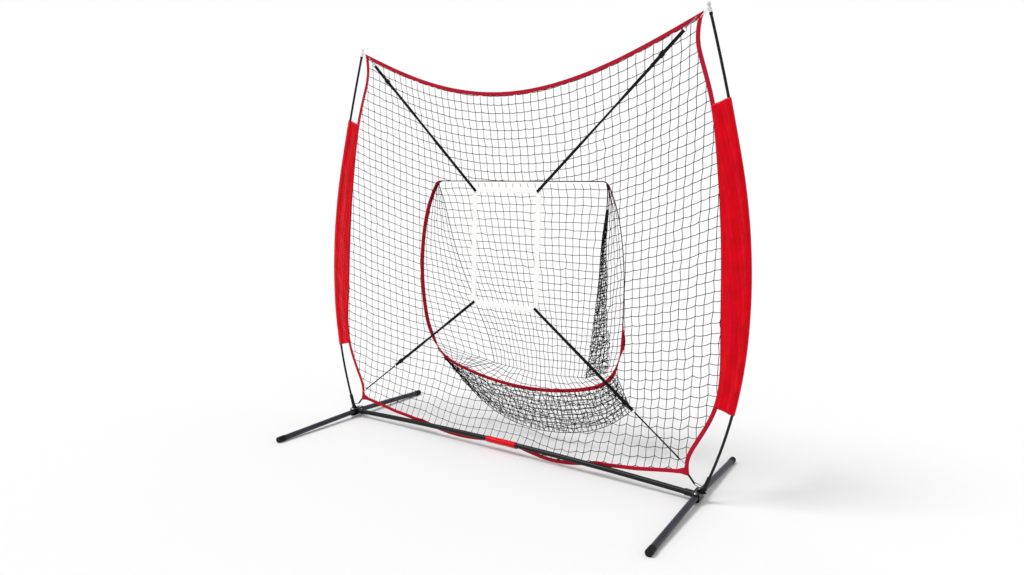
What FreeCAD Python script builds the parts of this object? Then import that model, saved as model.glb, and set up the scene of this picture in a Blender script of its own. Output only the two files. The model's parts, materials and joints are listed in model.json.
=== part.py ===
import FreeCAD, Part
import math
import os

# A portable pitching target net.  A steel base (crossbar, two hubs, four folding legs)
# carries two sprung bow poles.  The poles stretch a hemmed net with a ball pocket, and
# four adjustable straps hold a strike-zone frame in front of the pocket.
#
# Frame: millimetres, +X to the thrower's right, +Y away from the thrower, +Z up.
# The origin is on the ground, midway between the two hubs.

Vector = FreeCAD.Vector

# ---------------------------------------------------------------- overall sizes
hub_half_span = 1042.0
hub_axis_height = 33.0
frame_height = 2130.0

# ---------------------------------------------------------------- working values
overlap = 1.0
edge_pick = 1.5
halvings = 60

# ---------------------------------------------------------------- crossbar
bar_radius = 12.7
bar_wall = 1.2
bar_rise = 25.0
bar_joint_gap = 0.3
bar_seat_past_hub = 6.0
coupler_half_length = 150.0
coupler_wall = 1.2
slip_clearance = 0.2
rivet_x = 118.0
rivet_radius = 2.0
rivet_head_radius = 3.6
rivet_head_height = 1.2

# ---------------------------------------------------------------- hub weldment
plate_thickness = 3.0
plate_gap = 31.0
pivot_offset = 32.0
web_thickness = 3.2
stop_clearance = 0.4
sleeve_wall = 2.9
sleeve_reach = 57.0
socket_radius = 9.5
socket_clearance = 0.25
socket_length = 83.0
socket_floor = 14.0
socket_lobe_radius = 15.0
gusset_height = 42.0
gusset_thickness = 3.0

# ---------------------------------------------------------------- legs
leg_radius = 14.0
leg_wall = 1.5
leg_length = 543.0
foot_axis_height = 15.0
cap_wall = 1.6
cap_fit = 0.12
cap_cover = 38.0
cap_end = 6.0
cap_rounding = 4.5
bolt_radius = 4.0
bolt_head_radius = 8.5
bolt_head_height = 4.5
bolt_fit = 0.05
pivot_fit = 0.08
bush_wall = 2.5
nut_across_flats = 13.0
nut_height = 6.5
bolt_overhang = 1.5

# ---------------------------------------------------------------- snap buttons
button_radius = 3.3
button_hole_clearance = 0.3
button_proud = 3.0
button_flange_extra = 1.5
button_flange_height = 1.0
button_flange_clearance = 0.6
hub_button_inset = 38.0
coupler_button_x = 118.0
spring_width = 7.0
spring_thickness = 0.6
spring_gap = 0.3
spring_length = 26.0
spring_overrun = 5.0

# ---------------------------------------------------------------- bow poles
pole_radius = 6.0
pole_foot_out = 20.0
pole_foot_up = 12.0
pole_lean_deg = 19.37
pole_seat = 80.0
pole_lower_bend = 2144.0
pole_middle_bend = 2839.0
pole_upper_bend = 10940.0
pole_lower_run = 660.0
pole_middle_run = 720.0
ferrule_half_length = 45.0
ferrule_radius = 7.5
ferrule_fit = 0.15
tip_collar_radius = 7.5
tip_collar_length = 16.0
tip_neck_radius = 3.4
tip_neck_length = 16.0
tip_head_length = 11.0
tip_ring_length = 9.0

# ---------------------------------------------------------------- net and hems
net_thickness = 2.0
hem_width = 19.0
hem_thickness = 2.6
seam_gap = 0.8
grid_bar = 6.0
grid_edge = 14.0
grid_most = 12
grid_side_columns = 6
grid_top_rows = 5
grid_low_rows = 2
corner_inside_tip = 16.3
corner_below_tip = 30.0
top_sag = 264.0
top_quarter_share = 0.513
top_quarter_sag = 185.0
low_tip_inside_hub = 41.0
low_tip_height = 110.0
hem_behind_bar = 0.3
hem_flat_half = 110.0
hem_join_share = 0.64
hem_swing_share = 0.54
hem_sag_left = 22.0
hem_sag_right = 33.0
top_inner_inset = Vector(-20.0, 0.0, -29.0)
low_inner_inset = Vector(-26.0, 0.0, 35.0)
eyelet_reach = 10.0
side_hem_gaps = [(0.967, 53.6), (0.937, 68.4), (0.902, 68.5), (0.82, 60.1), (0.698, 75.5),
                 (0.508, 97.6), (0.317, 88.9), (0.201, 65.6), (0.151, 70.0), (0.071, 105.1),
                 (0.03, 109.3)]
low_hem_heights = [(0, 37.0), (0.12, 37.0), (0.25, 42.0), (0.42, 49.0), (0.6, 55.0),
                   (0.745, 74.0), (0.895, 103.0), (0.96, 113.0), (1.0, low_tip_height)]

# ---------------------------------------------------------------- ball pocket
rim_radius = 5.0
rim_top_z = 1405.0
rim_top_y = 88.0
rim_half_top = 508.0
rim_clearance = 0.4
rim_seat_length = 9.0
rim_low_part = [Vector(0, 200, 312), Vector(430, 170, 385), Vector(560, 140, 495)]
rim_side_part = [Vector(604, 112, 640), Vector(616, 86, 880), Vector(590, 80, 1180),
                 Vector(rim_half_top, rim_top_y, rim_top_z)]
bag_corner_right = Vector(595.0, 290.0, 262.0)
bag_corner_left = Vector(-500.0, 262.0, 312.0)
bag_back_x = 296.0
bag_back_y = 365.0
bag_back_z = 370.0
bag_foot = Vector(bag_back_x, bag_back_y, bag_back_z)
ridge_line = [Vector(497, 120, 1330), Vector(462, 155, 1140), Vector(425, 212, 930),
              Vector(375, 280, 720), Vector(325, 345, 520), bag_foot]
bag_low_line = [Vector(-400, 295, 200), Vector(-200, 300, 90), Vector(50, 300, 52),
                Vector(300, 305, 85), Vector(480, 298, 165)]
back_low_middle = Vector(0, 372, 350)

# ---------------------------------------------------------------- side sleeves
sleeve_top_z = 1738.0
sleeve_bottom_z = 425.0
sleeve_slant = 7.0
sleeve_flare = 9.0
sleeve_spare = 60.0
sleeve_line_rise = 20.0
sleeve_line_drop = 5.0
sleeve_thickness = 5.5
sleeve_hem_shown = 6.0
sleeve_pocket_radius = 8.0
sleeve_cloth = 1.2

# ---------------------------------------------------------------- strike zone and straps
zone_width = 405.0
zone_height = 610.0
zone_centre_z = 1066.0
zone_band = 27.0
zone_thickness = 1.6
zone_front_y = -4.2
strap_width = 15.0
strap_thickness = 1.2
strap_front_y = -5.6
strap_layer_gap = 2.8
ring_wire_radius = 1.2
ring_depth = 14.0
upper_hook_length = 56.0
lower_hook_length = 34.0
hook_radius = 1.6
hook_eye_wall = 1.6
hook_peg_radius = 1.8
hook_head_radius = 3.4
hook_head_length = 1.0
hook_knob_radius = 2.1
hook_knob_inset = 0.5
eye_clearance = 0.3
elastic_radius = 2.5
elastic_length = 280.0
upper_tail = 190.0
lower_tail = 110.0
upper_adjuster_back = 128.0
lower_adjuster_back = 46.0
adjuster_length = 22.0
adjuster_rail = 2.8
adjuster_bar = 2.6
adjuster_skin = 1.2
upper_hook_inset = Vector(-30.0, 0.0, -24.0)
lower_hook_inset = Vector(-20.0, 0.0, 52.0)

# ---------------------------------------------------------------- corner cords
loop_cord_radius = 1.25
loop_radius = 7.0
loop_seat_share = 0.4
loop_hole_inset = Vector(-12.0, 0.0, -28.0)
hold_cord_radius = 1.4
hold_loop_radius = 11.6
hold_loop_height = 24.0
hold_loop_reach = 38.0
toggle_radius = 4.5
toggle_past_tip = 9.0

# ---------------------------------------------------------------- centre wrap
wrap_half_length = 90.0
wrap_cloth = 1.8
wrap_fit = 0.3
wrap_slack = 1.5

# ---------------------------------------------------------------- worked-out sizes
bar_bore = bar_radius - bar_wall
coupler_radius = bar_bore - slip_clearance
coupler_bore = coupler_radius - coupler_wall
arch_radius = (hub_half_span ** 2 + bar_rise ** 2) / (2.0 * bar_rise)
arch_centre_z = hub_axis_height + bar_rise - arch_radius
bar_crown_z = hub_axis_height + bar_rise
sleeve_bore = bar_radius + slip_clearance
sleeve_radius = sleeve_bore + sleeve_wall
plate_half_width = leg_radius + stop_clearance + web_thickness
upper_plate_z = hub_axis_height + plate_gap / 2.0
lower_plate_z = hub_axis_height - plate_gap / 2.0 - plate_thickness
upper_plate_top = upper_plate_z + plate_thickness
pole_foot_x = hub_half_span + pole_foot_out
pole_foot_z = hub_axis_height + pole_foot_up
pole_lean = math.radians(pole_lean_deg)
pole_bore = pole_radius + socket_clearance
leg_tilt = math.asin((hub_axis_height - foot_axis_height) / leg_length)
cap_radius = leg_radius + cap_fit + cap_wall
half_hem = hem_thickness / 2.0
half_net = net_thickness / 2.0
hem_rear_y = bar_radius + hem_behind_bar
fold_centre_y = strap_front_y - strap_layer_gap / 2.0
eye_radius = ring_wire_radius + eye_clearance + hook_eye_wall
eye_width = 2.5 * hook_radius
net_reach = 2.0 * bag_back_y
pole_reach = 2.0 * frame_height
up = Vector(0, 0, 1)
back = Vector(0, 1, 0)
out = Vector(1, 0, 0)
nodes = {}


# ================================================================ small helpers
def keep(name, *shapes):
    """Store one node: a single solid, or a group of separate solids."""
    solids = []
    for shape in shapes:
        solids.extend(shape.Solids)
    nodes[name] = solids[0] if len(solids) == 1 else Part.makeCompound(solids)


def other_side(shape):
    """The mirror image across the centre plane X = 0."""
    return shape.mirror(Vector(0, 0, 0), out)


def mirrored(points):
    """The same points on the other side, in the same order."""
    return [Vector(-point.x, point.y, point.z) for point in points]


def front_to_back(shape):
    """The mirror image across the net plane Y = 0."""
    return shape.mirror(Vector(0, 0, 0), back)


def fused(first, *rest):
    """One solid from overlapping solids."""
    return first.fuse(list(rest)).removeSplitter()


def rod(start, end, radius):
    """A round bar between two points."""
    axis = end - start
    return Part.makeCylinder(radius, axis.Length, start, axis)


def block(low, high):
    """A box between two corners."""
    size = high - low
    return Part.makeBox(size.x, size.y, size.z, low)


def disc(centre, normal, radius, inner_radius=0.0):
    """A flat disc, or a flat ring where inner_radius is given."""
    wires = [Part.Wire(Part.makeCircle(radius, centre, normal))]
    if inner_radius > 0:
        wires.append(Part.Wire(Part.makeCircle(inner_radius, centre, normal)))
    return Part.makeFace(wires, "Part::FaceMakerBullseye")


def unit(vector):
    """The same direction at length one."""
    return Vector(vector) / vector.Length


def smooth(points):
    """An edge that runs smoothly through the points."""
    curve = Part.BSplineCurve()
    curve.interpolate(points)
    return curve.toShape()


def plate_between(edge_a, edge_b, front_y, thickness):
    """A flat plate in the net plane between two edges that run the same way."""
    first = Part.makeLine(edge_a.Vertexes[-1].Point, edge_b.Vertexes[-1].Point)
    last = Part.makeLine(edge_b.Vertexes[0].Point, edge_a.Vertexes[0].Point)
    wire = Part.Wire(Part.__sortEdges__([edge_a, first, edge_b, last]))
    face = Part.Face(wire)
    face.translate(Vector(0, front_y, 0))
    return face.extrude(Vector(0, thickness, 0))


def net_sheet(points_a, points_b, push, gap_a=0.0, gap_b=0.0):
    """A stretched net panel: straight lines between two edges, thickened along push."""
    grid = []
    for a, b in zip(points_a, points_b):
        run = unit(b - a)
        start = a + run * gap_a
        end = b - run * gap_b
        grid.append([start, (start + end) * 0.5, end])
    surface = Part.BSplineSurface()
    surface.interpolate(grid)
    return surface.toShape().extrude(push)


def along(points, share):
    """The point at a share of the way along a list of evenly spaced points."""
    place = share * (len(points) - 1)
    k = min(int(place), len(points) - 2)
    return points[k] + (points[k + 1] - points[k]) * (place - k)


def net_openings(points_a, points_b, rows, columns):
    """Prisms along Y that cut a plain grid of openings in a panel between two edges."""

    def crossing(u, v):
        """A point of the panel at shares of the way along it and across it."""
        start = along(points_a, u)
        return start + (along(points_b, u) - start) * v

    length = (crossing(1, 0.5) - crossing(0, 0.5)).Length
    width = (crossing(0.5, 1) - crossing(0.5, 0)).Length
    edge_u, edge_v = grid_edge / length, grid_edge / width
    half_u, half_v = grid_bar / 2.0 / length, grid_bar / 2.0 / width
    step_u, step_v = (1 - 2 * edge_u) / rows, (1 - 2 * edge_v) / columns
    prisms = []
    for row in range(rows):
        u0 = edge_u + step_u * row + half_u
        u1 = u0 + step_u - 2 * half_u
        for column in range(columns):
            v0 = edge_v + step_v * column + half_v
            v1 = v0 + step_v - 2 * half_v
            corners = [crossing(u0, v0), crossing(u1, v0), crossing(u1, v1), crossing(u0, v1)]
            outline = [Vector(point.x, -net_reach, point.z) for point in corners]
            face = Part.Face(Part.makePolygon(outline + outline[:1]))
            prisms.append(face.extrude(back * 2 * net_reach))
    return Part.makeCompound(prisms)


def tangent_arcs(points, heading):
    """A smooth chain of arcs: each one leaves along the last one's end tangent."""
    edges = []
    direction = unit(heading)
    for start, end in zip(points, points[1:]):
        chord = end - start
        along = unit(chord)
        side = direction - along * direction.dot(along)
        turn = math.asin(min(1.0, side.Length))
        middle = start + chord * 0.5 + unit(side) * (chord.Length / 2.0 * math.tan(turn / 2.0))
        edges.append(Part.Arc(start, middle, end).toShape())
        direction = along * (2.0 * direction.dot(along)) - direction
    return edges


def piped(edges, heading, radius):
    """A round tube along a chain of edges."""
    start = edges[0].Vertexes[0].Point
    profile = Part.Wire(Part.makeCircle(radius, start, heading))
    return Part.Wire(edges).makePipeShell([profile], True, False)


def loop_ring(first, second, ring_radius, cord_radius):
    """A long closed cord loop round two points, lying in the plane of Y and their line."""
    run = unit(second - first)
    normal = unit(run.cross(back))
    rails = []
    for side in (-1, 1):
        shift = back * (side * ring_radius)
        rails.append(rod(first + shift, second + shift, cord_radius))
    ends = []
    for centre, turn in ((first, -1), (second, 1)):
        start = disc(centre + back * ring_radius, run, cord_radius)
        ends.append(start.revolve(centre, normal * -turn, 180))
    return fused(rails[0], rails[1], *ends)


# ================================================================ crossbar
def bar_frame(x):
    """Placement on the arched bar: local x along it, local z radially up."""
    angle = math.asin(x / arch_radius)
    point = Vector(x, 0, arch_centre_z + arch_radius * math.cos(angle))
    return FreeCAD.Placement(point, FreeCAD.Rotation(back, math.degrees(angle)))


def bar_stretch(x_from, x_to, radius, inner_radius=0.0):
    """A stretch of round bar or tube along the crossbar's arch."""
    place = bar_frame(x_from)
    heading = place.Rotation.multVec(out)
    sweep = math.degrees(math.asin(x_to / arch_radius) - math.asin(x_from / arch_radius))
    face = disc(place.Base, heading, radius, inner_radius)
    return face.revolve(Vector(0, 0, arch_centre_z), back, sweep)


def on_bar(shape, x):
    """Move a shape made at the origin to its place on the bar."""
    placed = shape.copy()
    placed.Placement = bar_frame(x).multiply(shape.Placement)
    return placed


def cross_hole(radius, low, high):
    """A radial drill at the origin, along local z."""
    return Part.makeCylinder(radius, high - low, Vector(0, 0, low))


def snap_button(bore, outer_radius):
    """A snap button's head: flange inside the tube, stem through it, domed top."""
    flange_radius = button_radius + button_flange_extra
    flange_top = math.sqrt(bore ** 2 - flange_radius ** 2) - button_flange_clearance
    flange = Part.makeCylinder(flange_radius, button_flange_height,
                               Vector(0, 0, flange_top - button_flange_height))
    stem_top = outer_radius + button_proud - button_radius
    stem = Part.makeCylinder(button_radius, stem_top - flange_top + button_flange_height,
                             Vector(0, 0, flange_top - button_flange_height))
    dome = Part.makeSphere(button_radius, Vector(0, 0, stem_top))
    return fused(stem, flange, dome), flange_top - button_flange_height


def leaf_spring(bore, head_bottom):
    """A strip bent into a U, one leg under the button and one along the tube's floor."""
    high = head_bottom - spring_gap
    low = spring_gap - math.sqrt(bore ** 2 - (spring_width / 2.0) ** 2)

    def hairpin(inset, reach):
        """A long D lying on its side, shrunk all round by inset."""
        radius = (high - low) / 2.0 - inset
        middle = (high + low) / 2.0
        left = -spring_length
        points = [Vector(reach, 0, middle + radius), Vector(left, 0, middle + radius),
                  Vector(left - radius, 0, middle), Vector(left, 0, middle - radius),
                  Vector(reach, 0, middle - radius)]
        edges = [Part.makeLine(points[0], points[1]),
                 Part.Arc(points[1], points[2], points[3]).toShape(),
                 Part.makeLine(points[3], points[4]), Part.makeLine(points[4], points[0])]
        face = Part.Face(Part.Wire(edges))
        face.translate(Vector(0, -spring_width / 2.0, 0))
        return face.extrude(Vector(0, spring_width, 0))

    return hairpin(0.0, spring_overrun).cut(hairpin(spring_thickness, spring_overrun + overlap))


def drilled_bar(x_from, x_to, radius, inner_radius, drills):
    """A tube along the arch with radial holes, each cut in a short stretch of its own."""
    stops = [x_from, x_to]
    for x, _ in drills:
        stops.extend([x - 2 * bar_radius, x + 2 * bar_radius])
    stops.sort()
    pieces = []
    for low, high in zip(stops, stops[1:]):
        piece = bar_stretch(low, high, radius, inner_radius)
        cuts = [on_bar(tool, x) for x, tool in drills if low < x < high]
        pieces.append(piece.cut(cuts) if cuts else piece)
    return fused(*pieces)


def make_crossbar():
    """Two arched half tubes, the coupler inside their joint, rivet, button and spring."""
    reach = hub_half_span + bar_seat_past_hub
    start = bar_joint_gap / 2.0
    hub_x = hub_half_span - hub_button_inset
    button_hole = cross_hole(button_radius + button_hole_clearance, 0, 2 * bar_radius)
    rivet_hole = cross_hole(rivet_radius + bolt_fit, -2 * bar_radius, 2 * bar_radius)
    left = drilled_bar(-reach, -start, bar_radius, bar_bore,
                       [(-hub_x, button_hole), (-rivet_x, rivet_hole)])
    right = drilled_bar(start, reach, bar_radius, bar_bore,
                        [(coupler_button_x, button_hole), (hub_x, button_hole)])
    coupler = drilled_bar(-coupler_half_length, coupler_half_length, coupler_radius,
                          coupler_bore, [(-rivet_x, rivet_hole),
                                         (coupler_button_x, button_hole)])
    shank_end = bar_radius + rivet_head_height / 2.0
    shank = cross_hole(rivet_radius, -shank_end, shank_end)
    heads = []
    for low in (bar_radius, -bar_radius - rivet_head_height):
        heads.append(cross_hole(rivet_head_radius, low, low + rivet_head_height))
    button, flange_bottom = snap_button(coupler_bore, bar_radius)
    keep("crossbar_left", left)
    keep("crossbar_right", right)
    keep("crossbar_coupler", coupler)
    keep("coupler_rivet", on_bar(fused(shank, *heads), -rivet_x))
    keep("coupler_button", on_bar(button, coupler_button_x))
    keep("coupler_spring", on_bar(leaf_spring(coupler_bore, flange_bottom), coupler_button_x))


# ================================================================ bow poles
def bow_runs():
    """The pole's stretches: length along it and bend radius, none where it is straight."""
    return [(pole_seat, None), (pole_lower_run, pole_lower_bend),
            (pole_middle_run, pole_middle_bend), (pole_reach, pole_upper_bend)]


def bow_state(s):
    """Point and lean from the vertical at distance s along the pole."""
    x, z, lean = pole_foot_x, pole_foot_z, pole_lean
    for run, bend in bow_runs():
        step = min(s, run)
        if bend is None:
            x += step * math.sin(lean)
            z += step * math.cos(lean)
        else:
            next_lean = lean - step / bend
            x += bend * (math.cos(next_lean) - math.cos(lean))
            z += bend * (math.sin(lean) - math.sin(next_lean))
            lean = next_lean
        s -= step
        if s <= 0:
            break
    return Vector(x, 0, z), lean


def bow_heading(lean):
    """Direction of the pole at a lean from the vertical."""
    return Vector(math.sin(lean), 0, math.cos(lean))


def bow_at_height(z):
    """Distance along the pole at which it reaches height z."""
    low, high = 0.0, pole_reach
    for _ in range(halvings):
        middle = (low + high) / 2.0
        if bow_state(middle)[0].z < z:
            low = middle
        else:
            high = middle
    return low


def bow_pieces(s_from, s_to):
    """The straight or arched pieces of the pole between two distances along it."""
    pieces = []
    start = 0.0
    for run, bend in bow_runs():
        low, high = max(s_from, start), min(s_to, start + run)
        if high - low > 1e-6:
            pieces.append((low, high, bend))
        start += run
    return pieces


def bow_rod(s_from, s_to, radius, inner_radius=0.0):
    """A rod or tube that follows the pole's bend."""
    solids = []
    for low, high, bend in bow_pieces(s_from, s_to):
        point, lean = bow_state(low)
        heading = bow_heading(lean)
        face = disc(point, heading, radius, inner_radius)
        if bend is None:
            solids.append(face.extrude(heading * (high - low)))
        else:
            inward = Vector(-math.cos(lean), 0, math.sin(lean))
            turn = math.degrees((high - low) / bend)
            solids.append(face.revolve(point + inward * bend, back * -1, turn))
    return solids[0] if len(solids) == 1 else fused(*solids)


def bow_edges(s_from, s_to):
    """The pole's centre line as edges."""
    edges = []
    for low, high, _ in bow_pieces(s_from, s_to):
        ends = [bow_state(s)[0] for s in (low, (low + high) / 2.0, high)]
        edges.append(Part.Arc(*ends).toShape())
    return edges


pole_joint_low = pole_seat + pole_lower_run
pole_joint_high = pole_joint_low + pole_middle_run
tip_top = bow_at_height(frame_height)
pole_end = tip_top - tip_head_length - tip_neck_length
collar_start = pole_end - tip_collar_length
ring_start = collar_start - tip_ring_length


def make_poles():
    """Three rod sections a side, ferrules at their joints, tip rings and tip caps."""
    spans = {"lower": (socket_floor + slip_clearance, pole_joint_low - slip_clearance / 2.0),
             "middle": (pole_joint_low + slip_clearance / 2.0,
                        pole_joint_high - slip_clearance / 2.0),
             "upper": (pole_joint_high + slip_clearance / 2.0, pole_end)}
    for name, (low, high) in spans.items():
        section = bow_rod(low, high, pole_radius)
        keep("pole_%s_right" % name, section)
        keep("pole_%s_left" % name, other_side(section))
    bore = pole_radius + ferrule_fit
    collars = [bow_rod(s - ferrule_half_length, s + ferrule_half_length, ferrule_radius, bore)
               for s in (pole_joint_low, pole_joint_high)]
    collars.append(bow_rod(ring_start, collar_start - slip_clearance, ferrule_radius, bore))
    keep("pole_ferrules", *collars, *[other_side(collar) for collar in collars])
    collar = bow_rod(collar_start, pole_end, tip_collar_radius, bore)
    lid = bow_rod(pole_end + slip_clearance, pole_end + plate_thickness, tip_collar_radius)
    rim = bow_rod(pole_end - slip_clearance, pole_end + plate_thickness,
                  tip_collar_radius, bore)
    neck = bow_rod(pole_end + slip_clearance, tip_top - slip_clearance, tip_neck_radius)
    head = bow_rod(tip_top - tip_head_length, tip_top, tip_collar_radius)
    top_edges = [edge for edge in head.Edges if edge.CenterOfMass.z > frame_height - edge_pick]
    head = head.makeFillet(tip_collar_radius / 3.0, top_edges[:1])
    cap = fused(collar, rim, lid, neck, head)
    keep("pole_tip_caps", cap, other_side(cap))


# ================================================================ hubs
def pivot_plate(low_z):
    """A flat plate with round ends that carries both leg pivots."""
    body = block(Vector(hub_half_span - plate_half_width, -pivot_offset, low_z),
                 Vector(hub_half_span + plate_half_width, pivot_offset,
                        low_z + plate_thickness))
    ends = [Part.makeCylinder(plate_half_width, plate_thickness,
                              Vector(hub_half_span, side * pivot_offset, low_z))
            for side in (-1, 1)]
    return fused(body, *ends)


def make_hubs():
    """Hub weldment: two pivot plates, web, crossbar sleeve, leaning pole socket, gusset."""
    lower = pivot_plate(lower_plate_z)
    upper = pivot_plate(upper_plate_z)
    socket_foot = bow_state(upper_plate_top / math.cos(pole_lean) - pole_foot_z)[0]
    lobe = Part.makeCylinder(socket_lobe_radius, plate_thickness,
                             Vector(socket_foot.x, 0, upper_plate_z))
    web_face = hub_half_span + leg_radius + stop_clearance
    web = block(Vector(web_face, -pivot_offset, lower_plate_z),
                Vector(web_face + web_thickness, pivot_offset, upper_plate_top))
    sleeve = bar_stretch(hub_half_span - sleeve_reach, web_face + web_thickness / 2.0,
                         sleeve_radius)
    socket = bow_rod(-socket_radius, socket_length, socket_radius)
    below = block(Vector(0, -2 * leg_radius, -hub_axis_height),
                  Vector(2 * hub_half_span, 2 * leg_radius, upper_plate_z))
    socket = socket.cut(below)
    gusset_top = bow_state(gusset_height)[0]
    gusset_wire = Part.makePolygon([
        Vector(hub_half_span - plate_half_width / 2.0, 0, upper_plate_z),
        Vector(socket_foot.x, 0, upper_plate_z), gusset_top,
        Vector(hub_half_span - plate_half_width / 2.0, 0, upper_plate_z)])
    gusset = Part.Face(gusset_wire)
    gusset.translate(Vector(0, -gusset_thickness / 2.0, 0))
    gusset = gusset.extrude(Vector(0, gusset_thickness, 0))
    hub = fused(lower, upper, lobe, web, sleeve, socket, gusset)
    cuts = [bar_stretch(hub_half_span - 2 * sleeve_reach,
                        hub_half_span + bar_seat_past_hub + slip_clearance, sleeve_bore),
            bow_rod(socket_floor, 2 * socket_length, pole_bore),
            on_bar(cross_hole(button_radius + button_hole_clearance, 0, 2 * sleeve_radius),
                   hub_half_span - hub_button_inset)]
    for side in (-1, 1):
        cuts.append(Part.makeCylinder(bolt_radius + bolt_fit, 2 * plate_gap,
                                      Vector(hub_half_span, side * pivot_offset, 0)))
    hub = hub.cut(cuts)
    keep("hub_right", hub)
    keep("hub_left", other_side(hub))
    button, flange_bottom = snap_button(bar_bore, sleeve_radius)
    button = on_bar(button, hub_half_span - hub_button_inset)
    spring = on_bar(leaf_spring(bar_bore, flange_bottom), hub_half_span - hub_button_inset)
    keep("hub_button_right", button)
    keep("hub_button_left", other_side(button))
    keep("hub_spring_right", spring)
    keep("hub_spring_left", other_side(spring))


def make_pivots():
    """A domed bolt and a lock nut at each of the four leg pivots."""
    end_z = lower_plate_z - nut_height - bolt_overhang
    bolts, nuts = [], []
    for x in (-hub_half_span, hub_half_span):
        for y in (-pivot_offset, pivot_offset):
            foot = Vector(x, y, end_z)
            shank = Part.makeCylinder(bolt_radius, upper_plate_top + overlap - end_z, foot)
            ball_radius = (bolt_head_radius ** 2 + bolt_head_height ** 2) / (
                2.0 * bolt_head_height)
            ball = Part.makeSphere(ball_radius, Vector(
                x, y, upper_plate_top + bolt_head_height - ball_radius))
            above = Part.makeCylinder(bolt_head_radius, bolt_head_height,
                                      Vector(x, y, upper_plate_top))
            bolts.append(fused(shank, ball.common(above)))
            corners = [Vector(x + nut_across_flats / math.sqrt(3) * math.cos(a * math.pi / 3),
                              y + nut_across_flats / math.sqrt(3) * math.sin(a * math.pi / 3),
                              lower_plate_z - nut_height) for a in range(7)]
            nut = Part.Face(Part.makePolygon(corners)).extrude(up * nut_height)
            nuts.append(nut.cut(Part.makeCylinder(bolt_radius + bolt_fit, 2 * plate_gap, foot)))
    keep("pivot_bolts", *bolts)
    keep("pivot_nuts", *nuts)


# ================================================================ legs
def make_legs():
    """Four folding legs: a tube with a round nose and a bushed pivot, and an end cap."""
    pivot = Vector(hub_half_span, pivot_offset, hub_axis_height)
    run = Vector(0, math.cos(leg_tilt), -math.sin(leg_tilt))
    end = pivot + run * leg_length
    full = rod(pivot - run * 2 * leg_radius, end, leg_radius)
    nose = Part.makeCylinder(leg_radius, 4 * leg_radius,
                             pivot - up * 2 * leg_radius)
    shaft = block(pivot + Vector(-2 * leg_radius, 0, -4 * leg_radius),
                  pivot + Vector(2 * leg_radius, 2 * leg_length, 2 * leg_radius))
    outside = full.common(fused(nose, shaft))
    inside = rod(pivot - run * 3 * leg_radius, end + run, leg_radius - leg_wall)
    bush_radius = bolt_radius + pivot_fit + bush_wall
    bush = Part.makeCylinder(bush_radius, 4 * leg_radius, pivot - up * 2 * leg_radius)
    pin = Part.makeCylinder(bolt_radius + pivot_fit, 6 * leg_radius,
                            pivot - up * 3 * leg_radius)
    leg = fused(outside.cut(inside), bush.common(outside)).cut(pin)
    cap = rod(end - run * cap_cover, end + run * cap_end, cap_radius)
    rims = [edge for edge in cap.Edges
            if (edge.CenterOfMass - (end + run * cap_end)).Length < cap_wall]
    cap = cap.makeFillet(cap_rounding, rims)
    cap = cap.cut(rod(end - run * (cap_cover + overlap), end + run * slip_clearance,
                      leg_radius + cap_fit))
    ground = block(Vector(0, 0, -2 * cap_radius), Vector(2 * hub_half_span, 2 * leg_length, 0))
    cap = cap.cut(ground)
    for part, shape in (("leg", leg), ("leg_cap", cap)):
        keep(part + "_rear_right", shape)
        keep(part + "_rear_left", other_side(shape))
        keep(part + "_front_right", front_to_back(shape))
        keep(part + "_front_left", other_side(front_to_back(shape)))


# ================================================================ net outline
def inset(points, width):
    """Points moved sideways in the net plane, to the right of the way they run."""
    curve = Part.BSplineCurve()
    curve.interpolate(points)
    moved = []
    for point in points:
        tangent = unit(curve.tangent(curve.parameter(point))[0])
        moved.append(point + Vector(tangent.z, 0, -tangent.x) * width)
    return moved


tip = bow_state(bow_at_height(frame_height))[0]
top_corner = tip - Vector(corner_inside_tip, 0, corner_below_tip)
low_tip = Vector(hub_half_span - low_tip_inside_hub, 0, low_tip_height)
upper_hook = top_corner + upper_hook_inset
lower_hook = low_tip + lower_hook_inset
loop_hole = top_corner + loop_hole_inset
top_inner_corner = top_corner + top_inner_inset
low_inner_corner = low_tip + low_inner_inset
quarter = Vector(top_quarter_share * top_corner.x, 0, top_corner.z - top_quarter_sag)
top_middle = Vector(0, 0, top_corner.z - top_sag)
top_outer = mirrored([top_corner, quarter]) + [top_middle, quarter, top_corner]


def hem_beside_pole(share, gap):
    """A point of the side hem at a share of its height, a gap inside the pole's line."""
    z = low_tip.z + share * (top_corner.z - low_tip.z)
    return Vector(bow_state(bow_at_height(z))[0].x - gap, 0, z)


side_outer = [top_corner]
side_outer.extend(hem_beside_pole(share, gap) for share, gap in side_hem_gaps)
side_outer.append(low_tip)


def hem_height(x):
    """Height of the bottom hem's lower edge: tied up at the wrap, sagging beside it."""
    share = abs(x) / low_tip.x
    height = low_hem_heights[-1][1]
    for (x0, z0), (x1, z1) in zip(low_hem_heights, low_hem_heights[1:]):
        if x0 <= share <= x1:
            height = z0 + (z1 - z0) * (share - x0) / (x1 - x0)
    swing = (abs(x) - hem_flat_half) / (hem_swing_share * low_tip.x - hem_flat_half)
    bulge = math.sin(math.pi * min(1.0, max(0.0, swing)))
    return height - (hem_sag_right if x > 0 else hem_sag_left) * bulge


def hem_depth(x):
    """The bottom hem's front face: behind the bar in the middle, in the net plane outside."""
    inner_x, outer_x = hem_join_share * low_tip.x, low_tip.x - hem_width
    share = min(1.0, max(0.0, (outer_x - abs(x)) / (outer_x - inner_x)))
    return -half_hem + (hem_rear_y + half_hem) * share


def bottom_edge(rise, end_x, end_z, count=49):
    """The bottom hem's edge at a height above its lower edge, left to right."""
    points = []
    for i in range(count):
        x = -end_x + 2.0 * end_x * i / (count - 1)
        z = hem_height(x) + rise if 0 < i < count - 1 else end_z
        points.append(Vector(x, hem_depth(x), z))
    return points


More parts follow.
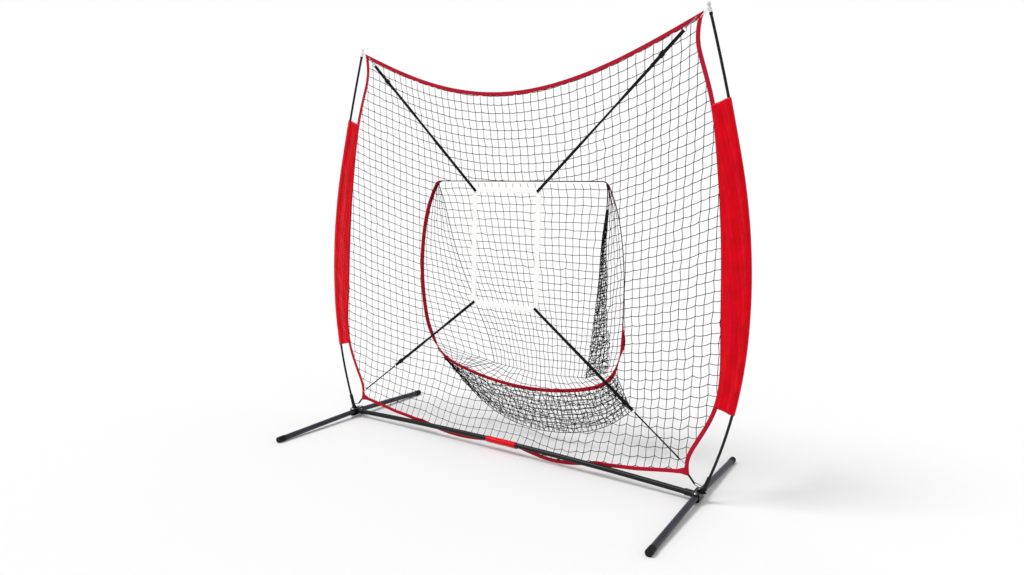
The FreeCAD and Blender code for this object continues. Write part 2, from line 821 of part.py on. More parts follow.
def make_hems():
    """Crimson binding round the net: top, both sides and bottom, mitred at the corners."""
    top_inner = inset(top_outer, hem_width)
    top_inner[0] = Vector(-top_inner_corner.x, 0, top_inner_corner.z)
    top_inner[-1] = top_inner_corner
    top = plate_between(smooth(top_outer), smooth(top_inner), -half_hem, hem_thickness)
    side_inner = inset(side_outer, hem_width)
    side_inner = [top_inner_corner] + side_inner[1:-1] + [low_inner_corner]
    side = plate_between(smooth(side_outer), smooth(side_inner), -half_hem, hem_thickness)
    low = bottom_edge(0.0, low_tip.x, low_tip.z)
    high = bottom_edge(hem_width, low_inner_corner.x, low_inner_corner.z)
    bottom = net_sheet(low, high, Vector(0, hem_thickness, 0))
    peg_hole = hook_peg_radius + eye_clearance
    cord_hole = loop_cord_radius + 2 * eye_clearance
    eyelets = []
    for point, radius in ((upper_hook, peg_hole), (lower_hook, peg_hole),
                          (loop_hole, cord_hole)):
        hole = rod(point - back * eyelet_reach, point + back * eyelet_reach, radius)
        eyelets.extend([hole, other_side(hole)])
    keep("top_hem", top.cut(eyelets))
    keep("side_hem_right", side.cut(eyelets))
    keep("side_hem_left", other_side(side.cut(eyelets)))
    keep("bottom_hem", bottom)
    return smooth(top_inner), smooth(side_inner)


# ================================================================ pocket rim
rim_right = rim_low_part + rim_side_part
rim_top = [Vector(-rim_half_top, rim_top_y, rim_top_z),
           Vector(rim_half_top, rim_top_y, rim_top_z)]
rim_corner = len(rim_low_part) - 1


def spread(edges, count):
    """Evenly spaced points along a chain of edges."""
    return Part.Wire(edges).discretize(count)


def make_rim():
    """Round binding of the pocket's mouth: a straight top and three bent stretches."""
    arcs = tangent_arcs(rim_right, out)
    side = arcs[rim_corner:]
    low = arcs[:rim_corner]
    full_side = piped(side, side[0].tangentAt(side[0].FirstParameter), rim_radius)
    top = rod(rim_top[0] - out * rim_radius, rim_top[1] + out * rim_radius, rim_radius)
    seat = out * rim_seat_length
    clear = rod(rim_top[0] - seat, rim_top[1] + seat, rim_radius + rim_clearance)
    full_side = full_side.cut(clear)
    right_low = piped(low, out, rim_radius)
    bottom = fused(right_low, other_side(right_low))
    cut_at = rim_right[rim_corner]
    heading = unit(side[0].tangentAt(side[0].FirstParameter))
    seam = rod(cut_at - heading * rim_clearance / 2.0, cut_at + heading * rim_clearance / 2.0,
               2 * rim_radius)
    full_side = full_side.cut(seam)
    bottom = bottom.cut([seam, other_side(seam)])
    keep("pocket_rim", top, full_side, other_side(full_side), bottom)
    room = rim_radius + rim_clearance
    right_room = piped(arcs, out, room)
    top_room = rod(rim_top[0] - out * 2 * room, rim_top[1] + out * 2 * room, room)
    return arcs, [right_room, other_side(right_room), top_room]


# ================================================================ net panels and pocket
def make_net(top_inner, side_inner, arcs, rim_room):
    """Four stretched panels from the hems to the rim, and the bag behind the mouth."""
    count = 25
    push = Vector(0, net_thickness, 0)
    front = Vector(0, -half_net, 0)

    def shifted(points, offset):
        """Points moved by one offset."""
        return [point + offset for point in points]

    rim_line = [rim_top[0] + (rim_top[1] - rim_top[0]) * (i / (count - 1.0))
                for i in range(count)]
    hem_line = top_inner.discretize(count)
    top_panel = net_sheet(shifted(hem_line, front), shifted(rim_line, front), push,
                          seam_gap, rim_radius / 2.0)
    top_grid = net_openings(hem_line, rim_line, grid_most, grid_top_rows)
    keep("net_top", top_panel.cut(rim_room).cut(top_grid))
    rim_side = spread(arcs[rim_corner:], count)
    rim_side.reverse()
    side_line = side_inner.discretize(count)
    panel = net_sheet(shifted(side_line, front), shifted(rim_side, front), push, seam_gap)
    side_grid = net_openings(side_line, rim_side, grid_most, grid_side_columns)
    panel = panel.cut(rim_room).cut(side_grid)
    keep("net_right", panel)
    keep("net_left", other_side(panel))
    right_low = spread(arcs[:rim_corner], count)
    rim_low = mirrored(reversed(right_low[1:])) + right_low
    hem_low = bottom_edge(hem_width + seam_gap, low_inner_corner.x - 2 * seam_gap,
                          low_inner_corner.z, len(rim_low))
    hem_low = shifted(hem_low, Vector(0, half_hem - half_net, 0))
    low_panel = net_sheet(hem_low, shifted(rim_low, front), push)
    low_grid = net_openings(hem_low, rim_low, grid_most, grid_low_rows)
    keep("net_bottom", low_panel.cut(rim_room).cut(low_grid))

    ridge_run = unit(ridge_line[0] - rim_top[1])
    ridge_top = rim_top[1] + ridge_run * (rim_radius + rim_clearance)
    ridge = smooth([ridge_top] + ridge_line).discretize(count)
    behind = net_sheet(mirrored(ridge), ridge, push)
    back_grid = net_openings(mirrored(ridge), ridge, grid_most, grid_most)
    keep("pocket_back", behind.cut(rim_room[:2]).cut(back_grid))
    gusset = net_sheet(rim_side, ridge, Vector(net_thickness, 0, 0)).cut(rim_room)
    corner_rim = rim_right[rim_corner]
    flaps = []
    for side, corner in ((1, bag_corner_right), (-1, bag_corner_left)):
        mouth = Vector(side * corner_rim.x, corner_rim.y, corner_rim.z)
        foot = Vector(side * bag_foot.x, bag_foot.y, bag_foot.z)
        flap = Part.Face(Part.makePolygon([mouth, corner, foot, mouth]))
        flaps.append(flap.extrude(Vector(side * net_thickness, 0, 0)).cut(rim_room))
    keep("pocket_right", gusset, flaps[0])
    keep("pocket_left", other_side(gusset), flaps[1])
    wide = len(rim_low)
    bag_low = smooth([bag_corner_left] + bag_low_line + [bag_corner_right]).discretize(wide)
    back_line = mirrored([bag_foot]) + [back_low_middle, bag_foot]
    back_low = smooth(back_line).discretize(wide)
    front_slope = net_sheet(rim_low, bag_low, push * -1, 0.0, seam_gap).cut(rim_room)
    rear_slope = net_sheet(bag_low, back_low, push)
    keep("pocket_bottom", front_slope, rear_slope)


# ================================================================ side sleeves
def make_sleeves():
    """Red cloth sleeves: two layers over the hem, closed round the pole."""
    s_low = bow_at_height(sleeve_bottom_z - sleeve_spare)
    s_high = bow_at_height(sleeve_top_z + sleeve_spare)
    inner = smooth(inset(side_outer, hem_width - sleeve_hem_shown))
    bow = bow_edges(bow_at_height(low_tip.z + sleeve_line_rise),
                    bow_at_height(top_corner.z - sleeve_line_drop))
    top_line = Part.makeLine(inner.Vertexes[0].Point, bow[-1].Vertexes[-1].Point)
    low_line = Part.makeLine(bow[0].Vertexes[0].Point, inner.Vertexes[-1].Point)
    face = Part.Face(Part.Wire(Part.__sortEdges__([inner, low_line] + bow + [top_line])))
    face.translate(Vector(0, -sleeve_thickness / 2.0, 0))
    cloth = face.extrude(Vector(0, sleeve_thickness, 0))
    outer_radius = sleeve_pocket_radius + sleeve_cloth
    pocket = bow_rod(s_low, s_high, outer_radius)
    far = 2.0 * hub_half_span
    near = top_corner.x
    flare = sleeve_flare * sleeve_slant
    corners = [(near, sleeve_bottom_z + sleeve_slant), (far, sleeve_bottom_z - flare),
               (far, sleeve_top_z + flare), (near, sleeve_top_z - sleeve_slant)]
    outline = [Vector(x, -2 * outer_radius, z) for x, z in corners]
    window = Part.Face(Part.makePolygon(outline + outline[:1]))
    window = window.extrude(Vector(0, 4 * outer_radius, 0))
    sleeve = fused(cloth.common(window), pocket.common(window))
    bore = bow_rod(s_low - overlap, s_high + overlap, sleeve_pocket_radius)
    slot = plate_between(smooth(inset(side_outer, -seam_gap)),
                         smooth(inset(side_outer, hem_width + seam_gap)),
                         -half_hem - seam_gap / 2.0, hem_thickness + seam_gap)
    sleeve = sleeve.cut([bore, slot])
    keep("side_sleeve_right", sleeve)
    keep("side_sleeve_left", other_side(sleeve))


# ================================================================ corner cords
def make_corner_cords():
    """Elastic loops at the pole tips; hold-down loops and toggles at the hubs."""
    neck = bow_state(pole_end + plate_thickness + tip_neck_length * loop_seat_share)[0]
    run = unit(loop_hole - neck)
    loop = loop_ring(neck, loop_hole - run * loop_radius, loop_radius, loop_cord_radius)
    keep("top_corner_loops", loop, other_side(loop))
    seat = bow_state(hold_loop_height)[0]
    aim = unit(Vector(-math.cos(pole_lean), 0, math.sin(pole_lean)))
    far = seat + aim * hold_loop_reach
    hold = loop_ring(seat, far, hold_loop_radius, hold_cord_radius)
    keep("hold_down_loops", hold, other_side(hold))
    eye = far + aim * hold_loop_radius
    axis = unit(low_tip - eye)
    body = rod(eye - axis * toggle_radius, low_tip + axis * toggle_past_tip, toggle_radius)
    body = body.makeFillet(toggle_radius / 3.0, body.Edges)
    cord_bow = toggle_radius ** 2 / (2.0 * hold_loop_radius)
    hole = rod(eye - back * 2 * toggle_radius, eye + back * 2 * toggle_radius,
               hold_cord_radius + cord_bow + eye_clearance)
    grip = half_hem + eye_clearance
    jaw = block(Vector(-2 * toggle_radius, -grip, -toggle_past_tip - 2),
                Vector(2 * toggle_radius, grip, 2 * toggle_past_tip))
    jaw.Placement = FreeCAD.Placement(low_tip, FreeCAD.Rotation(up, axis))
    toggle = body.cut([hole, jaw])
    keep("hold_down_toggles", toggle, other_side(toggle))


# ================================================================ centre wrap
def make_wrap():
    """A red hook-and-loop wrap that ties the bottom hem to the middle of the crossbar."""
    length = 2.0 * wrap_half_length
    start = Vector(-wrap_half_length, 0, bar_crown_z)
    inner = bar_radius + wrap_fit
    ring = Part.makeCylinder(inner + wrap_cloth, length, start, out)
    hem_low = hem_height(0.0) - wrap_slack
    hem_high = hem_height(0.0) + hem_width + wrap_slack
    rear = hem_rear_y + hem_thickness + wrap_fit
    shell = block(Vector(-wrap_half_length, bar_radius / 2.0, hem_low - wrap_cloth),
                  Vector(wrap_half_length, rear + wrap_cloth, bar_crown_z))
    bore = Part.makeCylinder(inner, length + 2 * overlap, start - out * overlap, out)
    reach = wrap_half_length + overlap
    slot = block(Vector(-reach, hem_rear_y - wrap_fit, hem_low), Vector(reach, rear, hem_high))
    passage = block(Vector(-reach, bar_radius / 2.0, hem_high - wrap_fit),
                    Vector(reach, 4 * bar_radius, bar_crown_z + 2 * wrap_cloth))
    keep("crossbar_wrap", fused(ring, shell).cut([bore, slot, passage]))


# ================================================================ strike zone
def make_zone():
    """White webbing rectangle: two upright bands between a top and a bottom band."""
    half_width, half_height = zone_width / 2.0, zone_height / 2.0
    y0, y1 = zone_front_y, zone_front_y + zone_thickness
    bands = []
    for side in (-1, 1):
        z_mid = zone_centre_z + side * (half_height - zone_band / 2.0)
        bands.append(block(Vector(-half_width, y0, z_mid - zone_band / 2.0),
                           Vector(half_width, y1, z_mid + zone_band / 2.0)))
        x_mid = side * (half_width - zone_band / 2.0)
        low = zone_centre_z - half_height + zone_band
        bands.append(block(Vector(x_mid - zone_band / 2.0, y0, low),
                           Vector(x_mid + zone_band / 2.0, y1, low + zone_height
                                  - 2 * zone_band)))
    keep("strike_zone_frame", fused(*bands))


def strap_frame(origin, run):
    """Placement with local x along a strap, local y to the rear, local z across it."""
    across = run.cross(back)
    matrix = FreeCAD.Matrix(run.x, back.x, across.x, origin.x,
                            run.y, back.y, across.y, origin.y,
                            run.z, back.z, across.z, origin.z, 0, 0, 0, 1)
    return FreeCAD.Placement(matrix)


def strap_solid(length, tail):
    """Webbing that runs out, folds round the ring and comes back as a tail."""
    half = strap_width / 2.0
    rear = strap_front_y + strap_thickness
    tail_front = strap_front_y - strap_layer_gap - strap_thickness
    main = block(Vector(0, strap_front_y, -half), Vector(length, rear, half))
    turn = block(Vector(length - tail, tail_front, -half),
                 Vector(length, tail_front + strap_thickness, half))
    centre = Vector(length, fold_centre_y, -half)
    fold = Part.makeCylinder(strap_layer_gap / 2.0 + strap_thickness, strap_width, centre)
    fold = fold.cut(Part.makeCylinder(strap_layer_gap / 2.0, strap_width, centre))
    outer_half = block(Vector(length, -strap_width, -half),
                       Vector(length + strap_width, strap_width, half))
    fold = fold.common(outer_half)
    return fused(main, turn, fold)


def ring_solid():
    """A D-shaped wire ring: straight side in the strap's fold, bow towards the corner."""
    half = strap_width / 2.0 + ring_wire_radius + eye_clearance
    centre = Vector(0, fold_centre_y, 0)
    bow_end = Vector(ring_depth, fold_centre_y, 0)
    low, high = centre - up * half, centre + up * half
    straight = rod(low, high, ring_wire_radius)
    arc = Part.Arc(low, bow_end, high).toShape()
    heading = arc.tangentAt(arc.FirstParameter)
    bow = piped([arc], heading, ring_wire_radius)
    knees = [Part.makeSphere(ring_wire_radius, point) for point in (low, high)]
    return fused(straight, bow, *knees)


def eye_tube(x):
    """A short tube across the strap line that closes round the ring's wire."""
    start = Vector(x, fold_centre_y, -eye_width / 2.0)
    return (Part.makeCylinder(eye_radius, eye_width, start),
            Part.makeCylinder(ring_wire_radius + eye_clearance, 3 * eye_width,
                              start - up * eye_width))


def hook_solid(start, hook_length, forked=False):
    """A hook from the wire at start to the hem's eyelet: eye or fork, bar, peg and head."""
    tip = start + hook_length
    near = Vector(tip, -half_hem - hook_radius - eye_clearance, 0)
    eye, bore = eye_tube(start)
    root = Vector(start, fold_centre_y, 0)
    grips = [eye]
    if forked:
        cheek = hook_radius
        inner = eye_width / 2.0 + eye_clearance
        reach = eye_radius + eye_clearance
        root = Vector(start + reach + cheek / 2.0, fold_centre_y, 0)
        grips = [rod(Vector(start, fold_centre_y, -inner - cheek),
                     Vector(start, fold_centre_y, inner + cheek), ring_wire_radius)]
        for side in (-1, 1):
            z0, z1 = sorted((side * inner, side * (inner + cheek)))
            grips.append(block(Vector(start - cheek, fold_centre_y - cheek, z0),
                               Vector(start + reach + cheek, fold_centre_y + cheek, z1)))
        grips.append(block(Vector(start + reach, fold_centre_y - cheek, -inner - cheek),
                           Vector(start + reach + cheek, fold_centre_y + cheek, inner + cheek)))
    bar = rod(root, near, hook_radius)
    knob = Part.makeSphere(hook_knob_radius, near - back * hook_knob_inset)
    peg_end = half_hem + 2 * eye_clearance + hook_head_length
    peg = rod(near, Vector(tip, peg_end, 0), hook_peg_radius)
    head = rod(Vector(tip, half_hem + eye_clearance, 0), Vector(tip, peg_end, 0),
               hook_head_radius)
    hook = fused(*grips, bar, knob, peg, head)
    return hook if forked else hook.cut(bore)


def elastic_solid(start):
    """An elastic cord with an eye at each end, between the ring and the lower hook."""
    end = start + elastic_length
    eyes = [eye_tube(start), eye_tube(end)]
    cord = rod(Vector(start, fold_centre_y, 0), Vector(end, fold_centre_y, 0), elastic_radius)
    return fused(cord, eyes[0][0], eyes[1][0]).cut([eyes[0][1], eyes[1][1]])


def adjuster_solid():
    """A strap slider: two rails, a bar between the layers and bars outside both."""
    half_width = strap_width / 2.0 + 0.5
    rail_out = half_width + adjuster_rail
    half = adjuster_length / 2.0
    gap = eye_clearance
    rear0 = strap_front_y + strap_thickness + gap
    front1 = strap_front_y - strap_layer_gap - strap_thickness - gap
    rails = []
    for side in (-1, 1):
        z0, z1 = sorted((side * half_width, side * rail_out))
        rails.append(block(Vector(-half, front1 - adjuster_skin, z0),
                           Vector(half, rear0 + adjuster_skin, z1)))
    bars = [block(Vector(-adjuster_bar / 2, strap_front_y - strap_layer_gap + gap, -rail_out),
                  Vector(adjuster_bar / 2, strap_front_y - gap, rail_out))]
    for side in (-1, 1):
        x0, x1 = sorted((side * (half - adjuster_bar), side * half))
        bars.append(block(Vector(x0, rear0, -rail_out), Vector(x1, rear0 + adjuster_skin,
                                                               rail_out)))
        bars.append(block(Vector(x0, front1 - adjuster_skin, -rail_out),
                          Vector(x1, front1, rail_out)))
    return fused(*rails, *bars)


def make_straps():
    """Four straps from the zone's corners to the net's corners, with their fittings."""
    half_width = zone_width / 2.0 - zone_band / 2.0
    half_height = zone_height / 2.0 - zone_band / 2.0
    rings, hooks, elastics = [], [], []
    for level, side, target, hook_length, slack, tail, adjuster_back in (
            ("upper", 1, upper_hook, upper_hook_length, 0.0, upper_tail, upper_adjuster_back),
            ("lower", -1, lower_hook, lower_hook_length, elastic_length, lower_tail,
             lower_adjuster_back)):
        corner = Vector(half_width, 0, zone_centre_z + side * half_height)
        run = unit(target - corner)
        length = (target - corner).Length - hook_length - ring_depth - slack
        place = strap_frame(corner, run)

        def put(shape):
            """Move a shape from the strap's own frame to its place."""
            placed = shape.copy()
            placed.Placement = place.multiply(shape.Placement)
            return placed

        strap = put(strap_solid(length, tail))
        ring = ring_solid()
        ring.translate(out * length)
        ring = put(ring)
        wire_x = length + ring_depth
        if slack:
            elastics.append(put(elastic_solid(wire_x)))
            hook = put(hook_solid(wire_x + slack, hook_length, forked=True))
        else:
            hook = put(hook_solid(wire_x, hook_length))
        slider = adjuster_solid()
        slider.translate(out * (length - adjuster_back))
        slider = put(slider)
        keep(level + "_straps", strap, other_side(strap))
        keep("strap_adjuster_%s_right" % level, slider)
        keep("strap_adjuster_%s_left" % level, other_side(slider))
        rings.append(ring)
        hooks.append(hook)
    keep("strap_rings", *rings, *[other_side(ring) for ring in rings])
    keep("corner_hooks", *hooks, *[other_side(hook) for hook in hooks])
    keep("elastic_cords", *elastics, *[other_side(cord) for cord in elastics])


# ================================================================ build and write
make_crossbar()
make_poles()
make_hubs()
make_pivots()
make_legs()
hem_top_inner, hem_side_inner = make_hems()
rim_arcs, rim_keepout = make_rim()
make_net(hem_top_inner, hem_side_inner, rim_arcs, rim_keepout)
make_sleeves()
make_corner_cords()
make_wrap()
make_zone()
make_straps()

os.makedirs("parts", exist_ok=True)
for name, shape in sorted(nodes.items()):
    shape.exportStep("parts/%s.step" % name)
    box = shape.BoundBox
    print("%-30s solids %d valid %s volume %.1f  X %.1f..%.1f Y %.1f..%.1f Z %.1f..%.1f" % (
        name, len(shape.Solids), shape.isValid(), shape.Volume, box.XMin, box.XMax,
        box.YMin, box.YMax, box.ZMin, box.ZMax))
print(len(nodes), "nodes")
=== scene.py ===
"""Looks of a pitching target net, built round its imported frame.

Lengths are in metres, in the frame's own axes: +X to the thrower's right, +Y away from the
thrower, +Z up, with the origin on the ground between the two hubs.
"""

import json
import logging
import math
from dataclasses import dataclass, field
from enum import Enum
from functools import cached_property

import bmesh
import bpy
import numpy as np
from mathutils import Matrix, Vector


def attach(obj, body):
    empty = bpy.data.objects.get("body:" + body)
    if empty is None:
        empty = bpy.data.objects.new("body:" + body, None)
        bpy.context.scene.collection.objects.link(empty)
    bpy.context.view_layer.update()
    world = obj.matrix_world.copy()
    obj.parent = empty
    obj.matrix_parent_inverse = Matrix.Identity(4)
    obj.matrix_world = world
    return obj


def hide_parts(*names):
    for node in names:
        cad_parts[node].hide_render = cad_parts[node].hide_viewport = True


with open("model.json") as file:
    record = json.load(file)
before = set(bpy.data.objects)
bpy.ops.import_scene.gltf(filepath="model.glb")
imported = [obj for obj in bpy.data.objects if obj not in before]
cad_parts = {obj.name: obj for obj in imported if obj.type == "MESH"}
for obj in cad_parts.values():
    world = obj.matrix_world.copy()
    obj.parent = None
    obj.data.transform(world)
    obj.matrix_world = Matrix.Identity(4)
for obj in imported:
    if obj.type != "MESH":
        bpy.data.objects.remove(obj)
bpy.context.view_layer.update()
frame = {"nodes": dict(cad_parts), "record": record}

Array = np.ndarray
Pair = tuple[float, float]
Triple = tuple[float, float, float]
Colour = tuple[float, float, float, float]
Piece = bpy.types.Object

LOG = logging.getLogger("pitching_net")
NET_BODY = "frame_and_net"
UV_NAME = "along_across"
SEED = 7
EDGE_POINTS = 241
ROUND_SIDES = 8
TINY = 1e-12
FULL_TURN = 2 * math.pi
BACKWARDS = np.array([0.0, 1.0, 0.0])
MIRROR = np.array([-1, 1, 1])

# Smooth noise: its slowest and fastest wave, a guard for their lengths, and its gain.
WAVE_RATES = (0.6, 1.6)
WAVE_GUARD = 0.6
WAVE_GAIN = 1.8

# Bands and cords: powers of the band's section, the shortest cord, and how steep in depth a
# cord is before its section is squared to the vertical instead.
BAND_POWERS = (0.35, 0.45)
SHORTEST_CORD = 1e-4
STEEP = 0.9
CORD_FACES = np.array([[0, 1, 5, 4], [1, 2, 6, 5], [2, 3, 7, 6], [3, 0, 4, 7], [3, 2, 1, 0], [4, 5, 6, 7]])
KNOT_FACES = np.array([[0, 1, 2, 3], [7, 6, 5, 4], [1, 0, 4, 5], [2, 1, 5, 6], [3, 2, 6, 7], [0, 3, 7, 4]])
KNOT_FRONT = np.array([[0, -1, 1], [-1, -1, 0], [0, -1, -1], [1, -1, 0]])
KNOT_DEPTH = 0.75

# Bend radius of a stretch of pole that counts as straight.
STRAIGHT = 1e6


class Slot(Enum):
    """The record's material slots that new pieces take their finish from."""

    CORD = "black_net_cord"
    BINDING = "crimson_binding"
    CLOTH = "red_sleeve_cloth"
    WHITE_WEBBING = "white_webbing"
    BLACK_WEBBING = "black_webbing"
    WHITE_ELASTIC = "white_elastic"
    BLACK_ELASTIC = "black_elastic"


class Side(Enum):
    """The two sides of the net, by the sign of their X."""

    LEFT = -1
    RIGHT = 1

    @property
    def word(self) -> str:
        """The side's name, as it stands in the names of pieces."""
        return self.name.lower()

    @property
    def flip(self) -> Array:
        """Factors that carry the right side's points to this side."""
        return np.array([self.value, 1, 1])


# ------------ curves and surfaces
def smooth_line(points: Array, count: int) -> Array:
    """A natural cubic spline through points, by chord length, sampled evenly.

    Each stretch is the cubic whose second derivatives solve the usual tridiagonal system.

    Args:
        points: The points that the line passes through, one a row.
        count: How many samples to give.

    Returns:
        The samples, one a row.
    """
    points = np.asarray(points, float)
    knots = lengths_along(points)
    n = len(points)
    h = np.diff(knots)
    system = np.eye(n)
    right = np.zeros_like(points)
    rows = np.arange(1, n - 1)
    system[rows, rows - 1] = h[:-1]
    system[rows, rows] = 2 * (h[:-1] + h[1:])
    system[rows, rows + 1] = h[1:]
    slope = np.diff(points, axis=0) / h[:, None]
    right[1:-1] = 6 * np.diff(slope, axis=0)
    second = np.linalg.solve(system, right)
    at = np.linspace(0, knots[-1], count)
    k = np.clip(np.searchsorted(knots, at, side="right") - 1, 0, n - 2)
    a = ((knots[k + 1] - at) / h[k])[:, None]
    b = 1 - a
    bend = ((a**3 - a) * second[k] + (b**3 - b) * second[k + 1]) * (h[k] ** 2)[:, None] / 6
    return a * points[k] + b * points[k + 1] + bend


def arc_chain(points: Array, heading: Array, per_arc: int) -> Array:
    """A chain of tangent arcs through points; each leaves along the last one's end tangent.

    Args:
        points: The joints of the chain.
        heading: The direction in which the chain starts.
        per_arc: Samples on each arc.

    Returns:
        The samples along the whole chain.
    """
    direction = heading / np.linalg.norm(heading)
    pieces = [points[:1]]
    for start, end in zip(points, points[1:]):
        chord = end - start
        length = np.linalg.norm(chord)
        along = chord / length
        side = direction - along * (direction @ along)
        turn = math.asin(min(1.0, float(np.linalg.norm(side))))
        side = side / np.linalg.norm(side)
        radius = length / 2 / math.sin(turn)
        sweep = np.linspace(-turn, turn, per_arc + 1)[1:, None]
        offset = radius * (np.sin(sweep) - np.sin(-turn)) * along
        rise = radius * (np.cos(sweep) - math.cos(turn)) * side
        pieces.append(start + offset + rise)
        direction = along * (2 * (direction @ along)) - direction
    return np.concatenate(pieces)


def resample(points: Array, count: int) -> Array:
    """Points evenly spaced by length along a line of points."""
    length = lengths_along(points)
    at = np.linspace(0, length[-1], count)
    return np.stack([np.interp(at, length, points[:, k]) for k in range(points.shape[1])], 1)


def lengths_along(points: Array) -> Array:
    """Distance from the first point to each point of a line."""
    return np.concatenate([[0.0], np.cumsum(np.linalg.norm(np.diff(points, axis=0), axis=1))])


def unit(vectors: Array, guard: float = 0.0) -> Array:
    """Rows of vectors divided by their lengths; a guard is added to each length."""
    return vectors / (np.linalg.norm(vectors, axis=1, keepdims=True) + guard)


def closed_run(path: Array) -> Array:
    """From the point before to the point after, at each point of a path that closes."""
    return np.roll(path, -1, axis=0) - np.roll(path, 1, axis=0)


def pair_up(along: Array, across: Array) -> Array:
    """UVs of a grid, from distances along it and across it."""
    return np.stack(np.broadcast_arrays(along, across), -1)


def smooth_step(x: Array) -> Array:
    """0 below 0, 1 above 1, and 3x^2 - 2x^3 between."""
    x = np.clip(x, 0.0, 1.0)
    return x * x * (3 - 2 * x)


def soft_noise(at: Array, seed: int, waves: int = 7) -> Array:
    """Smooth noise from -1 to 1: a sum of plane waves with fixed random directions.

    Args:
        at: Points, in units of the noise's own wavelength, with two or three columns.
        seed: Chooses the waves.
        waves: How many waves are added.

    Returns:
        One value for each point.
    """
    rng = np.random.default_rng(seed)
    directions = rng.normal(size=(waves, at.shape[-1]))
    directions *= rng.uniform(*WAVE_RATES, (waves, 1)) * 2 * math.pi
    lengths = np.linalg.norm(rng.normal(size=(waves, at.shape[-1])), axis=1, keepdims=True)
    directions /= lengths + WAVE_GUARD
    phases = rng.uniform(0, 2 * math.pi, waves)
    return np.sin(at @ directions.T + phases).mean(-1) * WAVE_GAIN


def grid_faces(rows: int, columns: int, close_columns: bool = False) -> Array:
    """Quads of a grid of points stored row by row.

    Args:
        rows: Number of rows of points.
        columns: Number of points in a row.
        close_columns: Whether each row closes into a ring.

    Returns:
        Four point indices for each quad.
    """
    r = np.arange(rows - 1)[:, None] * columns
    c = np.arange(columns if close_columns else columns - 1)[None, :]
    n = (c + 1) % columns
    return np.stack([r + c, r + n, r + columns + n, r + columns + c], -1).reshape(-1, 4)


@dataclass
class MeshData:
    """Points, faces and UVs of a piece, gathered from surfaces worked out in numpy."""

    points: list[Array] = field(default_factory=list)
    faces: list[Array] = field(default_factory=list)
    uvs: list[Array] = field(default_factory=list)
    count: int = 0

    def gather(self, points: Array, faces: Array, uvs: Array) -> None:
        """Adds points, faces that count from the first of them, and a UV for each corner."""
        self.points.append(points)
        self.faces.append(faces + self.count)
        self.uvs.append(uvs)
        self.count += len(points)

    def add_grid(self, grid: Array, uv: Array, close: bool = False, seam: bool = True) -> None:
        """Adds a grid surface.

        Args:
            grid: Points by row and column.
            uv: Two coordinates for each point.
            close: Whether each row closes into a ring.
            seam: Whether the UVs of a closed row go on past its last column.
        """
        rows, columns = grid.shape[:2]
        quads = grid_faces(rows, columns, close)
        corner_uv = uv.reshape(-1, 2)[quads]
        if close and seam:
            wraps = (quads[:, 1] % columns == 0) & (quads[:, 0] % columns == columns - 1)
            step = (uv[:, 1:, 1].max() - uv[:, 1:, 1].min()) / (columns - 2)
            corner_uv[wraps, 1, 1] = corner_uv[wraps, 0, 1] + step
            corner_uv[wraps, 2, 1] = corner_uv[wraps, 3, 1] + step
        self.gather(grid.reshape(-1, 3), quads, corner_uv.reshape(-1, 2))

    def add_cap(self, ring: Array, flip: bool) -> None:
        """Closes a ring of points with quads drawn across it.

        Args:
            ring: The ring's points in order; their number is even.
            flip: Whether the cap faces the other way.
        """
        last = len(ring) - 1
        i = np.arange(len(ring) // 2 - 1)
        quads = np.stack([i, i + 1, last - 1 - i, last - i], -1)
        if flip:
            quads = quads[:, ::-1]
        self.gather(ring, quads, np.zeros((quads.size, 2)))

    def add_boxes(self, points: Array, pattern: Array, uv: Array | None = None) -> None:
        """Adds many eight-cornered solids at once.

        Args:
            points: The corners of each solid, in its rows.
            pattern: Corners of each face of one solid.
            uv: Two coordinates for each corner; zeros where left out.
        """
        first = points.shape[1] * np.arange(len(points))
        faces = (pattern[None] + first[:, None, None]).reshape(-1, 4)
        corner_uv = np.zeros((faces.size, 2)) if uv is None else uv[faces].reshape(-1, 2)
        self.gather(points.reshape(-1, 3), faces, corner_uv)

    def build(self, name: str, merge: float = 1e-5) -> Piece:
        """Makes the mesh object, with seams merged and faces outwards.

        Args:
            name: The piece's name.
            merge: Distance under which points are merged; 0 leaves all as it is.

        Returns:
            The object, at the origin.
        """
        points = np.concatenate(self.points).astype(np.float32)
        faces = np.concatenate(self.faces).astype(np.int32)
        mesh = bpy.data.meshes.new(name)
        mesh.vertices.add(len(points))
        mesh.vertices.foreach_set("co", points.ravel())
        mesh.loops.add(faces.size)
        mesh.loops.foreach_set("vertex_index", faces.ravel())
        mesh.polygons.add(len(faces))
        mesh.polygons.foreach_set("loop_start", np.arange(0, faces.size, 4, dtype=np.int32))
        mesh.polygons.foreach_set("use_smooth", np.ones(len(faces), bool))
        layer = mesh.uv_layers.new(name=UV_NAME)
        layer.data.foreach_set("uv", np.concatenate(self.uvs).astype(np.float32).ravel())
        mesh.update(calc_edges=True)
        mesh.validate()
        if merge > 0:
            shape = bmesh.new()
            shape.from_mesh(mesh)
            bmesh.ops.remove_doubles(shape, verts=shape.verts, dist=merge)
            bmesh.ops.recalc_face_normals(shape, faces=shape.faces)
            shape.to_mesh(mesh)
            shape.free()
        piece = bpy.data.objects.new(name, mesh)
        bpy.context.scene.collection.objects.link(piece)
        return piece


def thicken(piece: Piece, thickness: float) -> None:
    """Gives a sheet of cloth its thickness, half on each side."""
    shell = piece.modifiers.new("cloth_thickness", "SOLIDIFY")
    shell.thickness = thickness
    shell.offset = 0


